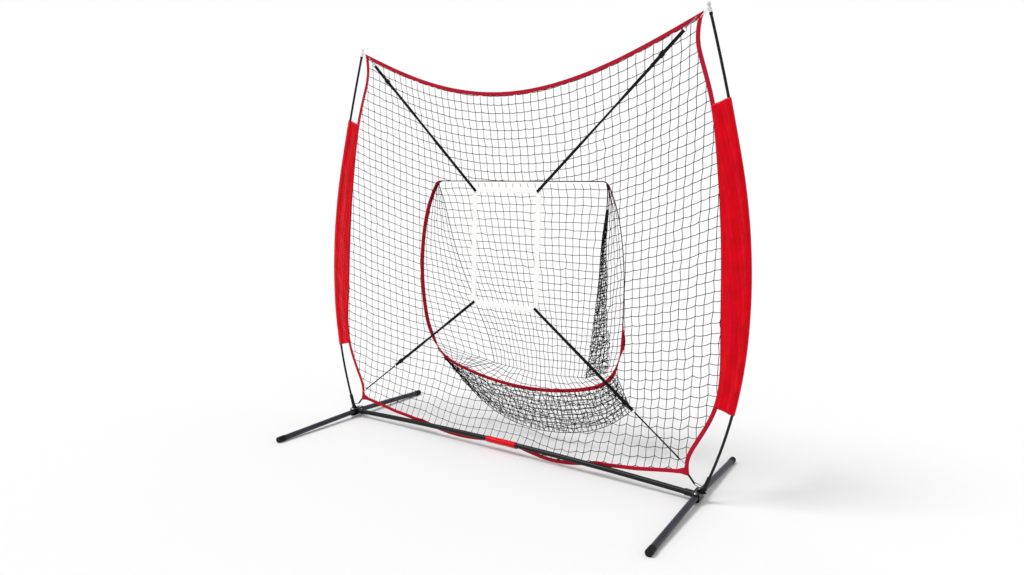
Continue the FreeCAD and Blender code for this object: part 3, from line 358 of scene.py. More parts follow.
def frames_along(path: Array) -> tuple[Array, Array]:
    """Two directions across a path that bends little.

    The first is square to the path and to the axis that the path runs along least.

    Args:
        path: Points along the path.

    Returns:
        The first and second direction at each point, square to the path.
    """
    tangent = unit(np.gradient(path, axis=0), TINY)
    guide = np.eye(3)[np.argmin(np.abs(tangent.mean(0)))]
    first = unit(np.cross(tangent, guide), TINY)
    return first, np.cross(tangent, first)


def ring_grid(
    path: Array, first: Array, second: Array, radius: float, sides: int
) -> tuple[Array, Array]:
    """A round section at each point: the path plus radius times cos and sin of the angle.

    Args:
        path: Points along the middle.
        first: First direction across the path, at each point.
        second: Second direction across the path, at each point.
        radius: The section's radius.
        sides: Points round the section.

    Returns:
        The grid, and the distance round the section at each column.
    """
    angle = FULL_TURN * np.arange(sides) / sides
    over, up = np.cos(angle)[None, :, None], np.sin(angle)[None, :, None]
    return path[:, None] + radius * (over * first[:, None] + up * second[:, None]), radius * angle[None, :]


def add_tube(data: MeshData, path: Array, radius: float, sides: int) -> None:
    """Adds a round tube, closed at its ends.

    Args:
        data: The piece that takes the tube.
        path: Points along the tube's middle.
        radius: The tube's radius.
        sides: Flat sides round the tube; an even number.
    """
    grid, girth = ring_grid(path, *frames_along(path), radius, sides)
    data.add_grid(grid, pair_up(lengths_along(path)[:, None], girth), close=True)
    data.add_cap(grid[0], flip=False)
    data.add_cap(grid[-1], flip=True)


def add_loop(data: MeshData, path: Array, radius: float, sides: int) -> None:
    """Adds a tube that closes on itself.

    Args:
        data: The piece that takes the loop.
        path: Points along the loop's middle, about in one plane; the last isn't the first.
        radius: The tube's radius.
        sides: Flat sides round the tube.
    """
    plane = np.linalg.svd(path - path.mean(0), full_matrices=False)[2][2]
    first = np.broadcast_to(plane, path.shape)
    grid, girth = ring_grid(path, first, np.cross(unit(closed_run(path)), first), radius, sides)
    grid = np.concatenate([grid, grid[:1]])
    along = np.linspace(0, 1, len(grid))[:, None] * lengths_along(path)[-1]
    data.add_grid(grid, pair_up(along, girth), close=True)


def add_band(
    data: MeshData,
    path: Array,
    across: Array,
    width: float | Array,
    thickness: float,
    sides: int = 16,
    closed: bool = False,
) -> None:
    """Adds a flat band: a rounded-rectangle section carried along a path.

    The section is a superellipse: width/2 cos(a)^k by thickness/2 sin(a)^k.

    Args:
        data: The piece that takes the band.
        path: Points along the band's middle.
        across: Unit vectors across the band at each point.
        width: Width of the band, one value or one a point.
        thickness: The band's thickness.
        sides: Points round the section; an even number.
        closed: Whether the path closes on itself; its last point isn't repeated then.
    """
    tangent = unit(closed_run(path) if closed else np.gradient(path, axis=0))
    normal = unit(np.cross(tangent, across))
    angle = FULL_TURN * (np.arange(sides) + 0.5) / sides
    waves = zip((np.cos(angle), np.sin(angle)), BAND_POWERS)
    flat, thin = (np.sign(wave) * np.abs(wave) ** power for wave, power in waves)
    over = np.broadcast_to(np.asarray(width, float), (len(path),))[:, None] / 2 * flat[None]
    grid = path[:, None] + over[..., None] * across[:, None]
    grid = grid + (thickness / 2 * thin)[None, :, None] * normal[:, None]
    if closed:
        grid, over, path = (np.concatenate([part, part[:1]]) for part in (grid, over, path))
    data.add_grid(grid, pair_up(lengths_along(path)[:, None], over), close=True, seam=False)
    if not closed:
        data.add_cap(grid[0], flip=False)
        data.add_cap(grid[-1], flip=True)


def add_segments(data: MeshData, start: Array, end: Array, radius: float) -> None:
    """Adds many closed four-sided cords at once, one between each pair of points.

    Each cord's corners are its end points plus or minus radius times two directions across it.

    Args:
        data: The piece that takes the cords.
        start: First points, one a row.
        end: Last points, one a row.
        radius: Half the cord's thickness.
    """
    run = end - start
    size = np.linalg.norm(run, axis=1, keepdims=True)
    keep = size[:, 0] > SHORTEST_CORD
    start, end, size, run = start[keep], end[keep], size[keep], run[keep] / size[keep]
    guide = np.where(np.abs(run[:, 1:2]) > STEEP, [[0.0, 0.0, 1.0]], [[0.0, 1.0, 0.0]])
    first = unit(np.cross(run, guide))
    second = np.cross(run, first)
    corners = np.stack([first, second, -first, -second], 1) * radius
    points = np.concatenate([start[:, None] + corners, end[:, None] + corners], 1)
    level = np.concatenate([np.zeros(4), np.ones(4)])[None] * size
    turn = np.tile(np.arange(4) * radius, 2)[None]
    data.add_boxes(points, CORD_FACES, pair_up(level, turn).reshape(-1, 2))


def add_knots(data: MeshData, centres: Array, radius: float) -> None:
    """Adds a small box-shaped knot, turned on its corner, at each centre.

    Args:
        data: The piece that takes the knots.
        centres: Their centres, one a row.
        radius: Half a knot's height.
    """
    front = KNOT_FRONT * radius
    front[:, 1] *= KNOT_DEPTH
    ring = np.concatenate([front, front * [1, -1, 1]])
    data.add_boxes(centres[:, None] + ring[None], KNOT_FACES)


# ------------ bow poles and net outline
@dataclass(frozen=True)
class BowPole:
    """The right bow pole's middle line: a straight foot and three bends.

    Attributes:
        foot_x: Where the pole's line starts, across.
        foot_z: Where the pole's line starts, above the ground.
        lean: Lean from the vertical at the foot, in radians.
        runs: Length and bend radius of each stretch.
    """

    foot_x: float = 1.062
    foot_z: float = 0.045
    lean: float = math.radians(19.37)
    runs: tuple[Pair, ...] = (
        (0.08, STRAIGHT),
        (0.66, 2.144),
        (0.72, 2.839),
        (1.0, 10.94),
    )
    samples: int = 4000

    def at(self, s: Array) -> tuple[Array, Array]:
        """Points and lean at distances along the pole; each bend adds b(cos n - cos l).

        Args:
            s: Distances from the pole's foot.

        Returns:
            The points, and the lean from the vertical at each.
        """
        left = np.asarray(s, float).copy()
        x = np.full_like(left, self.foot_x)
        z = np.full_like(left, self.foot_z)
        lean = np.full_like(left, self.lean)
        for run, bend in self.runs:
            step = np.clip(left, 0, run)
            following = lean - step / bend
            x += bend * (np.cos(following) - np.cos(lean))
            z += bend * (np.sin(lean) - np.sin(following))
            lean = following
            left -= step
        return np.stack([x, np.zeros_like(x), z], -1), lean

    def along_at_height(self, z: Array) -> Array:
        """Distance along the pole at which it reaches a height."""
        s = np.linspace(0, sum(run for run, _ in self.runs), self.samples)
        return np.interp(z, self.at(s)[0][:, 2], s)

    def at_height(self, z: Array) -> Array:
        """Points of the pole at heights."""
        return self.at(self.along_at_height(z))[0]


@dataclass(frozen=True)
class NetOutline:
    """Edges of the net's binding, shared by all the cloth pieces.

    Attributes:
        low_shares: Places along half the bottom edge.
        low_heights: Heights of the bottom edge at these places, but for the last.
        swing_end: Where the bottom edge stops sagging beside the wrap.
        swing_depths: How far it sags there, left and right.
        end_blend: Where the bottom edge starts to rise to its corner, and over what share.
        side_gaps: Share of the height, and distance from the pole, along the side edge.
    """

    pole: BowPole = BowPole()
    hem_width: float = 0.019
    tip_height: float = 2.13
    corner_inside_tip: float = 0.0163
    corner_below_tip: float = 0.030
    top_sag: float = 0.264
    quarter_share: float = 0.513
    quarter_sag: float = 0.185
    low_tip: Pair = (1.001, 0.110)
    hem_flat_half: float = 0.110
    join_share: float = 0.64
    rear_y: float = 0.013
    half_thickness: float = 0.0013
    top_inset: Triple = (0.020, 0, 0.029)
    low_inset: Pair = (0.026, 0.035)
    corner_gap: float = 0.004
    low_shares: tuple[float, ...] = (0, 0.12, 0.25, 0.42, 0.6, 0.745, 0.895, 0.96, 1.0)
    low_heights: tuple[float, ...] = (0.037, 0.037, 0.042, 0.049, 0.055, 0.074, 0.103, 0.113)
    swing_end: float = 0.54
    swing_depths: Pair = (0.022, 0.033)
    end_blend: Pair = (0.97, 0.03)
    side_gaps: tuple[Pair, ...] = (
        (0.967, 0.0536),
        (0.937, 0.0684),
        (0.902, 0.0685),
        (0.82, 0.0601),
        (0.698, 0.0755),
        (0.508, 0.0976),
        (0.317, 0.0889),
        (0.201, 0.0656),
        (0.151, 0.0700),
        (0.071, 0.1051),
        (0.03, 0.1093),
    )

    def top_corner(self) -> Array:
        """Outer corner of the binding beside the right pole's tip."""
        tip = self.pole.at_height(np.array([self.tip_height]))[0]
        return tip - [self.corner_inside_tip, 0, self.corner_below_tip]

    def top_inner_corner(self) -> Array:
        """Corner of the net inside the binding, at the top."""
        return self.top_corner() - self.top_inset

    def low_inner_corner(self) -> Array:
        """Corner of the net inside the binding, at the bottom."""
        inwards, upwards = self.low_inset
        return np.array([self.low_tip[0] - inwards, 0, self.low_tip[1] + upwards])

    def inset(self, line: Array, width: float) -> Array:
        """A line moved sideways in the net plane, to the right of the way it runs."""
        tangent = unit(np.gradient(line, axis=0))
        return line + np.stack([tangent[:, 2], 0 * tangent[:, 0], -tangent[:, 0]], -1) * width

    def top_outer(self, count: int = EDGE_POINTS) -> Array:
        """The top binding's upper edge, from left to right."""
        corner = self.top_corner()
        quarter = np.array([self.quarter_share * corner[0], 0, corner[2] - self.quarter_sag])
        middle = np.array([0, 0, corner[2] - self.top_sag])
        return smooth_line(np.array([corner * MIRROR, quarter * MIRROR, middle, quarter, corner]), count)

    def side_outer(self, count: int = EDGE_POINTS) -> Array:
        """The right binding's outer edge, from the top down.

        Args:
            count: Number of points.

        Returns:
            The points.
        """
        corner = self.top_corner()
        shares = np.array([share for share, _ in self.side_gaps])
        gaps = np.array([gap for _, gap in self.side_gaps])
        heights = self.low_tip[1] + shares * (corner[2] - self.low_tip[1])
        points = self.pole.at_height(heights)
        points[:, 0] -= gaps
        low = np.array([[self.low_tip[0], 0, self.low_tip[1]]])
        return smooth_line(np.concatenate([corner[None], points, low]), count)

    def top_inner(self, count: int = EDGE_POINTS) -> Array:
        """The top binding's lower edge, from left to right."""
        line = self.inset(self.top_outer(count), self.hem_width)
        corner = self.top_inner_corner()
        reach = np.abs(line[:, 0]) < corner[0] - self.corner_gap
        return resample(np.concatenate([[corner * MIRROR], line[reach], [corner]]), count)

    def side_inner(self, count: int = EDGE_POINTS) -> Array:
        """The right binding's inner edge, from the top down."""
        line = self.inset(self.side_outer(count), self.hem_width)
        top, low = self.top_inner_corner(), self.low_inner_corner()
        reach = (line[:, 2] < top[2] - self.corner_gap) & (line[:, 2] > low[2] + self.corner_gap)
        return resample(np.concatenate([top[None], line[reach], low[None]]), count)

    def low_height(self, x: Array) -> Array:
        """Height of the bottom binding's lower edge: tied up at the wrap, sagging beside it.

        Args:
            x: Places across.

        Returns:
            The height at each.
        """
        heights = [*self.low_heights, self.low_tip[1]]
        level = np.interp(np.abs(x) / self.low_tip[0], self.low_shares, heights)
        end = self.swing_end * self.low_tip[0] - self.hem_flat_half
        swing = np.clip((np.abs(x) - self.hem_flat_half) / end, 0, 1)
        left, right = self.swing_depths
        return level - np.where(x > 0, right, left) * np.sin(math.pi * swing)

    def low_depth(self, x: Array) -> Array:
        """The bottom binding's middle: behind the bar at the centre, in the net plane outside."""
        inner, outer = self.join_share * self.low_tip[0], self.low_tip[0] - self.hem_width
        share = np.clip((outer - np.abs(x)) / (outer - inner), 0, 1)
        return (self.rear_y + self.half_thickness) * share

    def low_edge(self, rise: float, end: Array, count: int = EDGE_POINTS) -> Array:
        """The bottom binding's edge at a height above its lower edge, from left to right.

        Args:
            rise: The height above the lower edge.
            end: The corner that it reaches on the right.
            count: Number of points.

        Returns:
            The points.
        """
        x = np.linspace(-end[0], end[0], count)
        first, length = self.end_blend
        share = np.clip((np.abs(x) / end[0] - first) / length, 0, 1)
        z = (self.low_height(x) + rise) * (1 - share) + end[2] * share
        return np.stack([x, self.low_depth(x), z], -1)

    def low_outer(self, count: int = EDGE_POINTS) -> Array:
        """The bottom binding's lower edge."""
        return self.low_edge(0, np.array([self.low_tip[0], 0, self.low_tip[1]]), count)

    def low_inner(self, count: int = EDGE_POINTS) -> Array:
        """The bottom binding's upper edge."""
        return self.low_edge(self.hem_width, self.low_inner_corner(), count)


@dataclass(frozen=True)
class PocketShape:
    """Lines of the ball pocket; those of its side are the right side's.

    Attributes:
        low_rim: Joints of the mouth's bottom edge, from the middle outwards.
        side_rim: Joints of the mouth's side, upwards.
        ridge_line: Where the pocket's back meets its side, from the top down.
        bag_line: The bag's lowest line, from left to right.
        back_middle: The middle of the back's bottom edge.
    """

    low_rim: tuple = ((0, 0.200, 0.312), (0.430, 0.170, 0.385), (0.560, 0.140, 0.495))
    side_rim: tuple = (
        (0.604, 0.112, 0.640),
        (0.616, 0.086, 0.880),
        (0.590, 0.080, 1.180),
        (0.508, 0.088, 1.405),
    )
    ridge_line: tuple = (
        (0.508, 0.088, 1.405),
        (0.497, 0.120, 1.330),
        (0.462, 0.155, 1.140),
        (0.425, 0.212, 0.930),
        (0.375, 0.280, 0.720),
        (0.325, 0.345, 0.520),
        (0.296, 0.365, 0.370),
    )
    bag_line: tuple = (
        (-0.500, 0.262, 0.312),
        (-0.400, 0.295, 0.200),
        (-0.200, 0.300, 0.090),
        (0.050, 0.300, 0.052),
        (0.300, 0.305, 0.085),
        (0.480, 0.298, 0.165),
        (0.595, 0.290, 0.262),
    )
    back_middle: tuple = (0, 0.372, 0.350)
    per_arc: int = 20
    line_points: int = 121
    back_points: int = 61

    def bag_corner(self, side: Side) -> Array:
        """Where the bag's lowest line starts, on the right side's own terms."""
        corner = np.array(self.bag_line[-1 if side is Side.RIGHT else 0])
        return corner * side.flip

    def arcs(self) -> Array:
        """The mouth's edge from the middle of its bottom up to its right top corner."""
        points = np.array(self.low_rim + self.side_rim, float)
        return arc_chain(points, np.array([1.0, 0, 0]), self.per_arc)

    @property
    def low_end(self) -> int:
        """Number of the edge's point at which its bottom ends and its side starts."""
        return self.per_arc * (len(self.low_rim) - 1)

    def low(self, count: int) -> Array:
        """The mouth's right bottom stretch, outwards from the middle."""
        return resample(self.arcs()[: self.low_end + 1], count)

    def side(self, count: int) -> Array:
        """The mouth's right side, from the top down."""
        return resample(self.arcs()[self.low_end :][::-1], count)

    def whole_low(self, count: int) -> Array:
        """The mouth's whole bottom stretch, from left to right."""
        right = self.low(count)
        return np.concatenate([right[:0:-1] * MIRROR, right])

    def top(self, count: int) -> Array:
        """The mouth's straight top, from left to right."""
        end = np.array(self.side_rim[-1])
        return np.linspace(end * MIRROR, end, count)

    def ridge(self, count: int) -> Array:
        """Where the pocket's back meets its right side, from the top down."""
        return resample(smooth_line(np.array(self.ridge_line), self.line_points), count)

    def bag_low(self, count: int) -> Array:
        """The lowest line of the bag, from left to right."""
        return resample(smooth_line(np.array(self.bag_line), self.line_points), count)

    def back_low(self, count: int) -> Array:
        """The bottom of the pocket's back, from left to right."""
        foot = np.array(self.ridge_line[-1])
        middle = np.array(self.back_middle)
        line = smooth_line(np.array([foot * MIRROR, middle, foot]), self.back_points)
        return resample(line, count)


# ------------ net
@dataclass
class KnottedNet:
    """The stretched net between the binding and the pocket's mouth.

    Its cords form an upright lattice in the net plane, cut off by the binding and by the
    mouth, and lie in depth on straight lines from the binding to the mouth's edge.

    Attributes:
        slack_rise: How fast the slack sets in downwards, and how late.
    """

    outline: NetOutline
    pocket: PocketShape
    half_columns: int = 28
    rows: int = 43
    pitch: float = 0.0423
    narrowing: float = 0.00006
    sag: float = 0.0022
    cord: float = 0.0015
    knot: float = 0.0028
    uneven: float = 0.0013
    row_sway: float = 0.0014
    column_sway: float = 0.0045
    slack_rise: Pair = (2.4, 1.1)
    slack_reach: float = 0.5
    samples: int = 500
    edge_step: int = 6
    halvings: int = 12
    tail_part: int = 12
    panels: tuple[str, ...] = ("net_top", "net_right", "net_bottom", "net_left")

    @cached_property
    def rulings(self) -> tuple[Array, Array]:
        """Points round the binding, and the points of the mouth's edge that they reach to."""
        n, o, p = self.samples, self.outline, self.pocket
        right_hem, right_rim = resample(o.side_inner(n), n), p.side(n)
        low_hem, low_rim = o.low_inner(2 * n - 1)[::-1], p.whole_low(n)[::-1]
        hem = [o.top_inner(n), right_hem, low_hem, right_hem[::-1] * MIRROR]
        rim = [p.top(n), right_rim, low_rim, right_rim[::-1] * MIRROR]
        return np.concatenate(hem), np.concatenate(rim)

    def nearest(self, points: Array) -> tuple[Array, Array]:
        """The straight line nearest to each point of the net plane, by number.

        Args:
            points: Points whose depth doesn't count.

        Returns:
            The lines' numbers, and the share of the way along them.
        """
        hem, rim = self.rulings
        start, run = hem[:, [0, 2]], (rim - hem)[:, [0, 2]]
        line, share = np.empty(len(points), int), np.empty(len(points))
        for block in np.array_split(np.arange(len(points)), max(1, len(points) // self.samples)):
            offset = points[block][:, None, [0, 2]] - start[None]
            t = np.clip((offset * run).sum(-1) / (run * run).sum(-1), 0, 1)
            away = np.linalg.norm(offset - t[..., None] * run[None], axis=-1)
            line[block] = away.argmin(1)
            share[block] = t[np.arange(len(block)), line[block]]
        return line, share

    def depth(self, points: Array) -> Array:
        """Depth of the net at points of the net plane: hem (1 - t) + rim t on the nearest line."""
        hem, rim = self.rulings
        line, share = self.nearest(points)
        return hem[line, 1] * (1 - share) + rim[line, 1] * share

    def panel_of(self, points: Array) -> Array:
        """Number of the panel that points lie in: 0 top, 1 right, 2 bottom, 3 left."""
        n = self.samples
        return np.searchsorted([n, 2 * n, 4 * n - 1], self.nearest(points)[0], side="right")

    @staticmethod
    def inside(points: Array, edge: Array) -> Array:
        """Whether points lie inside an edge in the net plane, by counting edge crossings.

        Args:
            points: The points.
            edge: Points round the edge; the last isn't the first again.

        Returns:
            Truth for each point.
        """
        a = edge[:, [0, 2]]
        b = np.roll(a, -1, axis=0)
        x, z = points[:, 0][:, None], points[:, 2][:, None]
        spans = (a[:, 1] > z) != (b[:, 1] > z)
        rise = np.where(np.abs(b[:, 1] - a[:, 1]) < TINY, TINY, b[:, 1] - a[:, 1])
        cross = a[:, 0] + (z - a[:, 1]) / rise * (b[:, 0] - a[:, 0])
        return (spans & (x < cross)).sum(1) % 2 == 1

    def covered(self, points: Array) -> Array:
        """Whether points lie between the binding and the mouth."""
        hem, rim = self.rulings
        on_net = self.inside(points, hem[:: self.edge_step])
        return on_net & ~self.inside(points, rim[:: self.edge_step])

    def height_on(self, line: Array, x: Array) -> Array:
        """Height of a line at each x; beyond its ends it goes on straight.

        Args:
            line: Points from left to right, alike on both sides.
            x: Places across.

        Returns:
            The heights.
        """
        end = len(line) // self.tail_part
        height = np.interp(x, line[:, 0], line[:, 2])
        slope = (line[-1, 2] - line[-end, 2]) / (line[-1, 0] - line[-end, 0])
        beyond = np.maximum(np.abs(x) - line[-1, 0], 0)
        return height + slope * beyond

    def lattice(self) -> Array:
        """The net's crossings by row and column, reaching past the binding.

        Column k stands at pitch k - narrowing k^2 from the middle. The rows divide each
        column evenly between the top and the bottom binding.
        """
        o = self.outline
        k = np.arange(-self.half_columns, self.half_columns + 1)
        x = np.sign(k) * (self.pitch * np.abs(k) - self.narrowing * k**2)
        v = np.linspace(0, 1, self.rows + 1)[:, None]
        top, low = self.height_on(o.top_inner(), x), self.height_on(o.low_inner(), x)
        grid = np.zeros((self.rows + 1, len(k), 3))
        grid[..., 0] = x[None]
        grid[..., 2] = (1 - v) * top[None] + v * low[None]
        rng = np.random.default_rng(SEED)
        shift = rng.normal(0, self.uneven, grid.shape)
        row, column = np.mgrid[: self.rows + 1, : len(k)]
        rate, late = self.slack_rise
        slack = smooth_step(row / self.rows * rate - late) * smooth_step(x / self.slack_reach)[None]
        grid[..., 0] += shift[..., 0] + self.row_sway * (-1.0) ** row
        grid[..., 2] += shift[..., 2] + self.column_sway * slack * (-1.0) ** column
        return grid

    def clip(self, kept: Array, lost: Array) -> Array:
        """Where cords leave the net, between a point on it and a point off it, by halving.

        Args:
            kept: Points on the net.
            lost: As many points off it.

        Returns:
            The points where the cords end.
        """
        low, high = np.zeros(len(kept)), np.ones(len(kept))
        for _ in range(self.halvings):
            middle = (low + high) / 2
            on_net = self.covered(kept + (lost - kept) * middle[:, None])
            low, high = np.where(on_net, middle, low), np.where(on_net, high, middle)
        return kept + (lost - kept) * high[:, None]

    def cords(self) -> tuple[Array, Array, Array]:
        """Ends of all the cords, and the crossings that are knotted."""
        grid = self.lattice()
        middle = (grid[:, 1:] + grid[:, :-1]) / 2 - [0, 0, self.sag]
        start = np.concatenate([g.reshape(-1, 3) for g in (grid[:, :-1], middle, grid[:-1])])
        end = np.concatenate([g.reshape(-1, 3) for g in (middle, grid[:, 1:], grid[1:])])
        first, second = self.covered(start), self.covered(end)
        leaving, coming = first & ~second, second & ~first
        end[leaving] = self.clip(start[leaving], end[leaving])
        start[coming] = self.clip(end[coming], start[coming])
        shown = first | second
        start, end = start[shown], end[shown]
        start[:, 1], end[:, 1] = self.depth(start), self.depth(end)
        knots = grid.reshape(-1, 3)
        knots = knots[self.covered(knots)]
        knots[:, 1] = self.depth(knots)
        return start, end, knots

    def build(self) -> list[Piece]:
        """Makes the four panels, each in place of its own node."""
        start, end, knots = self.cords()
        cord_panel, knot_panel = self.panel_of((start + end) / 2), self.panel_of(knots)
        pieces = []
        for number, name in enumerate(self.panels):
            data = MeshData()
            chosen = cord_panel == number
            add_segments(data, start[chosen], end[chosen], self.cord)
            add_knots(data, knots[knot_panel == number], self.knot)
            piece = data.build(name + "_cords", merge=0)
            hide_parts(name)
            pieces.append(piece)
        LOG.info("net: %d cords, %d knots", len(start), len(knots))
        return pieces


@dataclass
class PocketBag:
    """The ball pocket behind the mouth: back, two sides and a bag at the bottom.

    Attributes:
        gather_reach: Share of the side's width that the bunched net takes at the top, what
            it gains to the foot, and the power of that gain.
        gather_loose: Its random shift at the top, and what that gains to the foot.
        gather_from: Share of the height where the gain starts, and over what share.
    """

    pocket: PocketShape
    cord: float = 0.0014
    knot: float = 0.0026
    seam: float = 0.0018
    seam_points: tuple[int, int] = (40, 60)
    columns: int = 23
    rows: int = 27
    side_columns: int = 8
    corner_rows: int = 10
    front_columns: int = 43
    front_rows: int = 9
    rear_rows: int = 8
    layers: int = 2
    gather_rows: int = 62
    gather_start: int = 8
    gather_columns: int = 7
    gather_reach: Triple = (0.20, 0.52, 1.5)
    gather_crowding: float = 1.3
    gather_loose: Pair = (0.0015, 0.0065)
    gather_from: Pair = (0.15, 0.85)
    gather_axes: Triple = (0.6, 1.0, 0.9)
    taut: float = 0.002
    loose: float = 0.003
    slack: float = 0.0045
    back_seed: int = 1
    side_seed: int = 3
    corner_seed: int = 6
    front_seed: int = 8
    rear_seed: int = 12
    gather_seed: int = 40
    corner: tuple = (-0.007, 0.007, -0.011)
    below_tape: tuple = (0, 0.006, -0.0145)

    def ruled(self, first: Array, second: Array, across: int, seed: int, sway: float) -> Array:
        """A net panel's crossings on straight lines between two edges, with uneven shifts.

        Args:
            first: Points of the first edge.
            second: Points of the second edge, as many.
            across: Spaces between the two.
            seed: Chooses the shifts.
            sway: Size of the shifts, which leave the panel's border in place.

        Returns:
            The crossings by row and column.
        """
        t = np.linspace(0, 1, across + 1)[None, :, None]
        grid = first[:, None] * (1 - t) + second[:, None] * t
        rng = np.random.default_rng(SEED + seed)
        grid[1:-1, 1:-1] += rng.normal(0, sway, grid[1:-1, 1:-1].shape)
        return grid

    def add_panel(self, data: MeshData, grid: Array, open_sides: str = "") -> None:
        """Adds the cords and knots of one panel.

        Args:
            data: The piece that takes the cords.
            grid: The panel's crossings by row and column.
            open_sides: Letters of the sides that have a cord of their own and no seam: t, b,
                l and r for the first and last row and the first and last column.
        """
        first, last, left, right = (0 if letter in open_sides else 1 for letter in "tblr")
        rows = grid[first : len(grid) - last]
        columns = grid[:, left : grid.shape[1] - right]
        add_segments(data, rows[:, :-1].reshape(-1, 3), rows[:, 1:].reshape(-1, 3), self.cord)
        add_segments(data, columns[:-1].reshape(-1, 3), columns[1:].reshape(-1, 3), self.cord)
        add_knots(data, grid[1:-1, 1:-1].reshape(-1, 3), self.knot)

    def gathered(self, gusset_edge: Array, ridge: Array, layer: int) -> Array:
        """Slack net bunched beside the right ridge, in a strip that widens downwards.

        Args:
            gusset_edge: Points down the mouth's side.
            ridge: As many points down the ridge.
            layer: Number of the layer, which chooses its shifts.

        Returns:
            The crossings by row and column.
        """
        v = np.linspace(0, 1, len(ridge))
        least, gain, power = self.gather_reach
        reach = least + gain * v**power
        crowded = np.linspace(0, 1, self.gather_columns) ** self.gather_crowding
        share = crowded[None] * reach[:, None]
        grid = ridge[:, None] + (gusset_edge - ridge)[:, None] * share[..., None]
        rng = np.random.default_rng(SEED + self.gather_seed + layer)
        start, length = self.gather_from
        least, gain = self.gather_loose
        loose = (least + gain * smooth_step((v - start) / length))[:, None, None]
        grid += rng.normal(0, 1, grid.shape) * loose * self.gather_axes
        return grid

    def replace(self, data: MeshData, word: str) -> Piece:
        """Makes a piece of the pocket, in place of its node."""
        piece = data.build("pocket_%s_cords" % word, merge=0)
        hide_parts("pocket_" + word)
        return piece

    def back(self, ridge: Array) -> Piece:
        """Makes the back: straight between the ridges, and bent at its foot as t^3 grows.

        Args:
            ridge: Points down the right ridge.

        Returns:
            The piece.
        """
        data = MeshData()
        lines = self.columns + 1
        back = self.ruled(ridge * MIRROR, ridge, self.columns, self.back_seed, self.taut)
        foot = self.pocket.back_low(lines)
        fall = np.linspace(0, 1, self.rows)[:, None, None] ** 3
        back += fall * (foot - np.linspace(foot[0], foot[-1], lines))
        self.add_panel(data, back)
        return self.replace(data, "back")

    def side(self, ridge: Array, edge: Array, side: Side) -> Piece:
        """Makes a side: its panel, its lower corner, its seams and, on the right, bunched net.

        Args:
            ridge: Points down the right ridge.
            edge: As many points down the mouth's side.
            side: Which side it is.

        Returns:
            The piece.
        """
        p = self.pocket
        data = MeshData()
        panel = self.ruled(edge, ridge, self.side_columns, self.side_seed + side.value, self.taut)
        self.add_panel(data, panel * side.flip)
        corner, foot, bag = np.array(p.low_rim[-1]), np.array(p.ridge_line[-1]), p.bag_corner(side)
        t = np.linspace(0, 1, self.corner_rows)[:, None]
        rear, front = foot + (bag - foot) * t, corner + (bag - corner) * t
        seed = self.corner_seed + side.value
        panel = self.ruled(front, rear, self.side_columns, seed, self.loose)
        self.add_panel(data, panel * side.flip, "t")
        if side is Side.RIGHT:
            long_edge, long_ridge = (
                line(self.gather_rows)[self.gather_start :] for line in (p.side, p.ridge)
            )
            for layer in range(self.layers):
                self.add_panel(data, self.gathered(long_edge, long_ridge, layer), "br")
        for line in (ridge, front, rear):
            path = resample(line, self.seam_points[0]) * side.flip
            add_tube(data, path, self.seam, ROUND_SIDES)
        return self.replace(data, side.word)

    def bottom(self) -> Piece:
        """Makes the bag: a slack front in layers, a rear, and the cord along its lowest line."""
        p = self.pocket
        data = MeshData()
        wide, lines = self.front_columns, self.columns + 1
        for layer in range(self.layers):
            mouth = p.whole_low(wide // 2 + 1) + self.below_tape
            seed = self.front_seed + layer
            self.add_panel(data, self.ruled(mouth, p.bag_low(wide), self.front_rows, seed, self.slack))
        rear = self.ruled(
            p.back_low(lines), p.bag_low(lines), self.rear_rows, self.rear_seed, self.loose
        )
        self.add_panel(data, rear.transpose(1, 0, 2), "t")
        add_tube(data, p.bag_low(self.seam_points[1]), self.seam, ROUND_SIDES)
        return self.replace(data, "bottom")

    def build(self) -> list[Piece]:
        """Makes the pocket's four pieces."""
        ridge, edge = self.pocket.ridge(self.rows), self.pocket.side(self.rows)
        for line in (ridge, edge):
            line[0] += self.corner
        sides = [self.back(ridge)] + [self.side(ridge, edge, side) for side in Side]
        pieces = [*sides, self.bottom()]
        LOG.info("pocket: %d pieces", len(pieces))
        return pieces


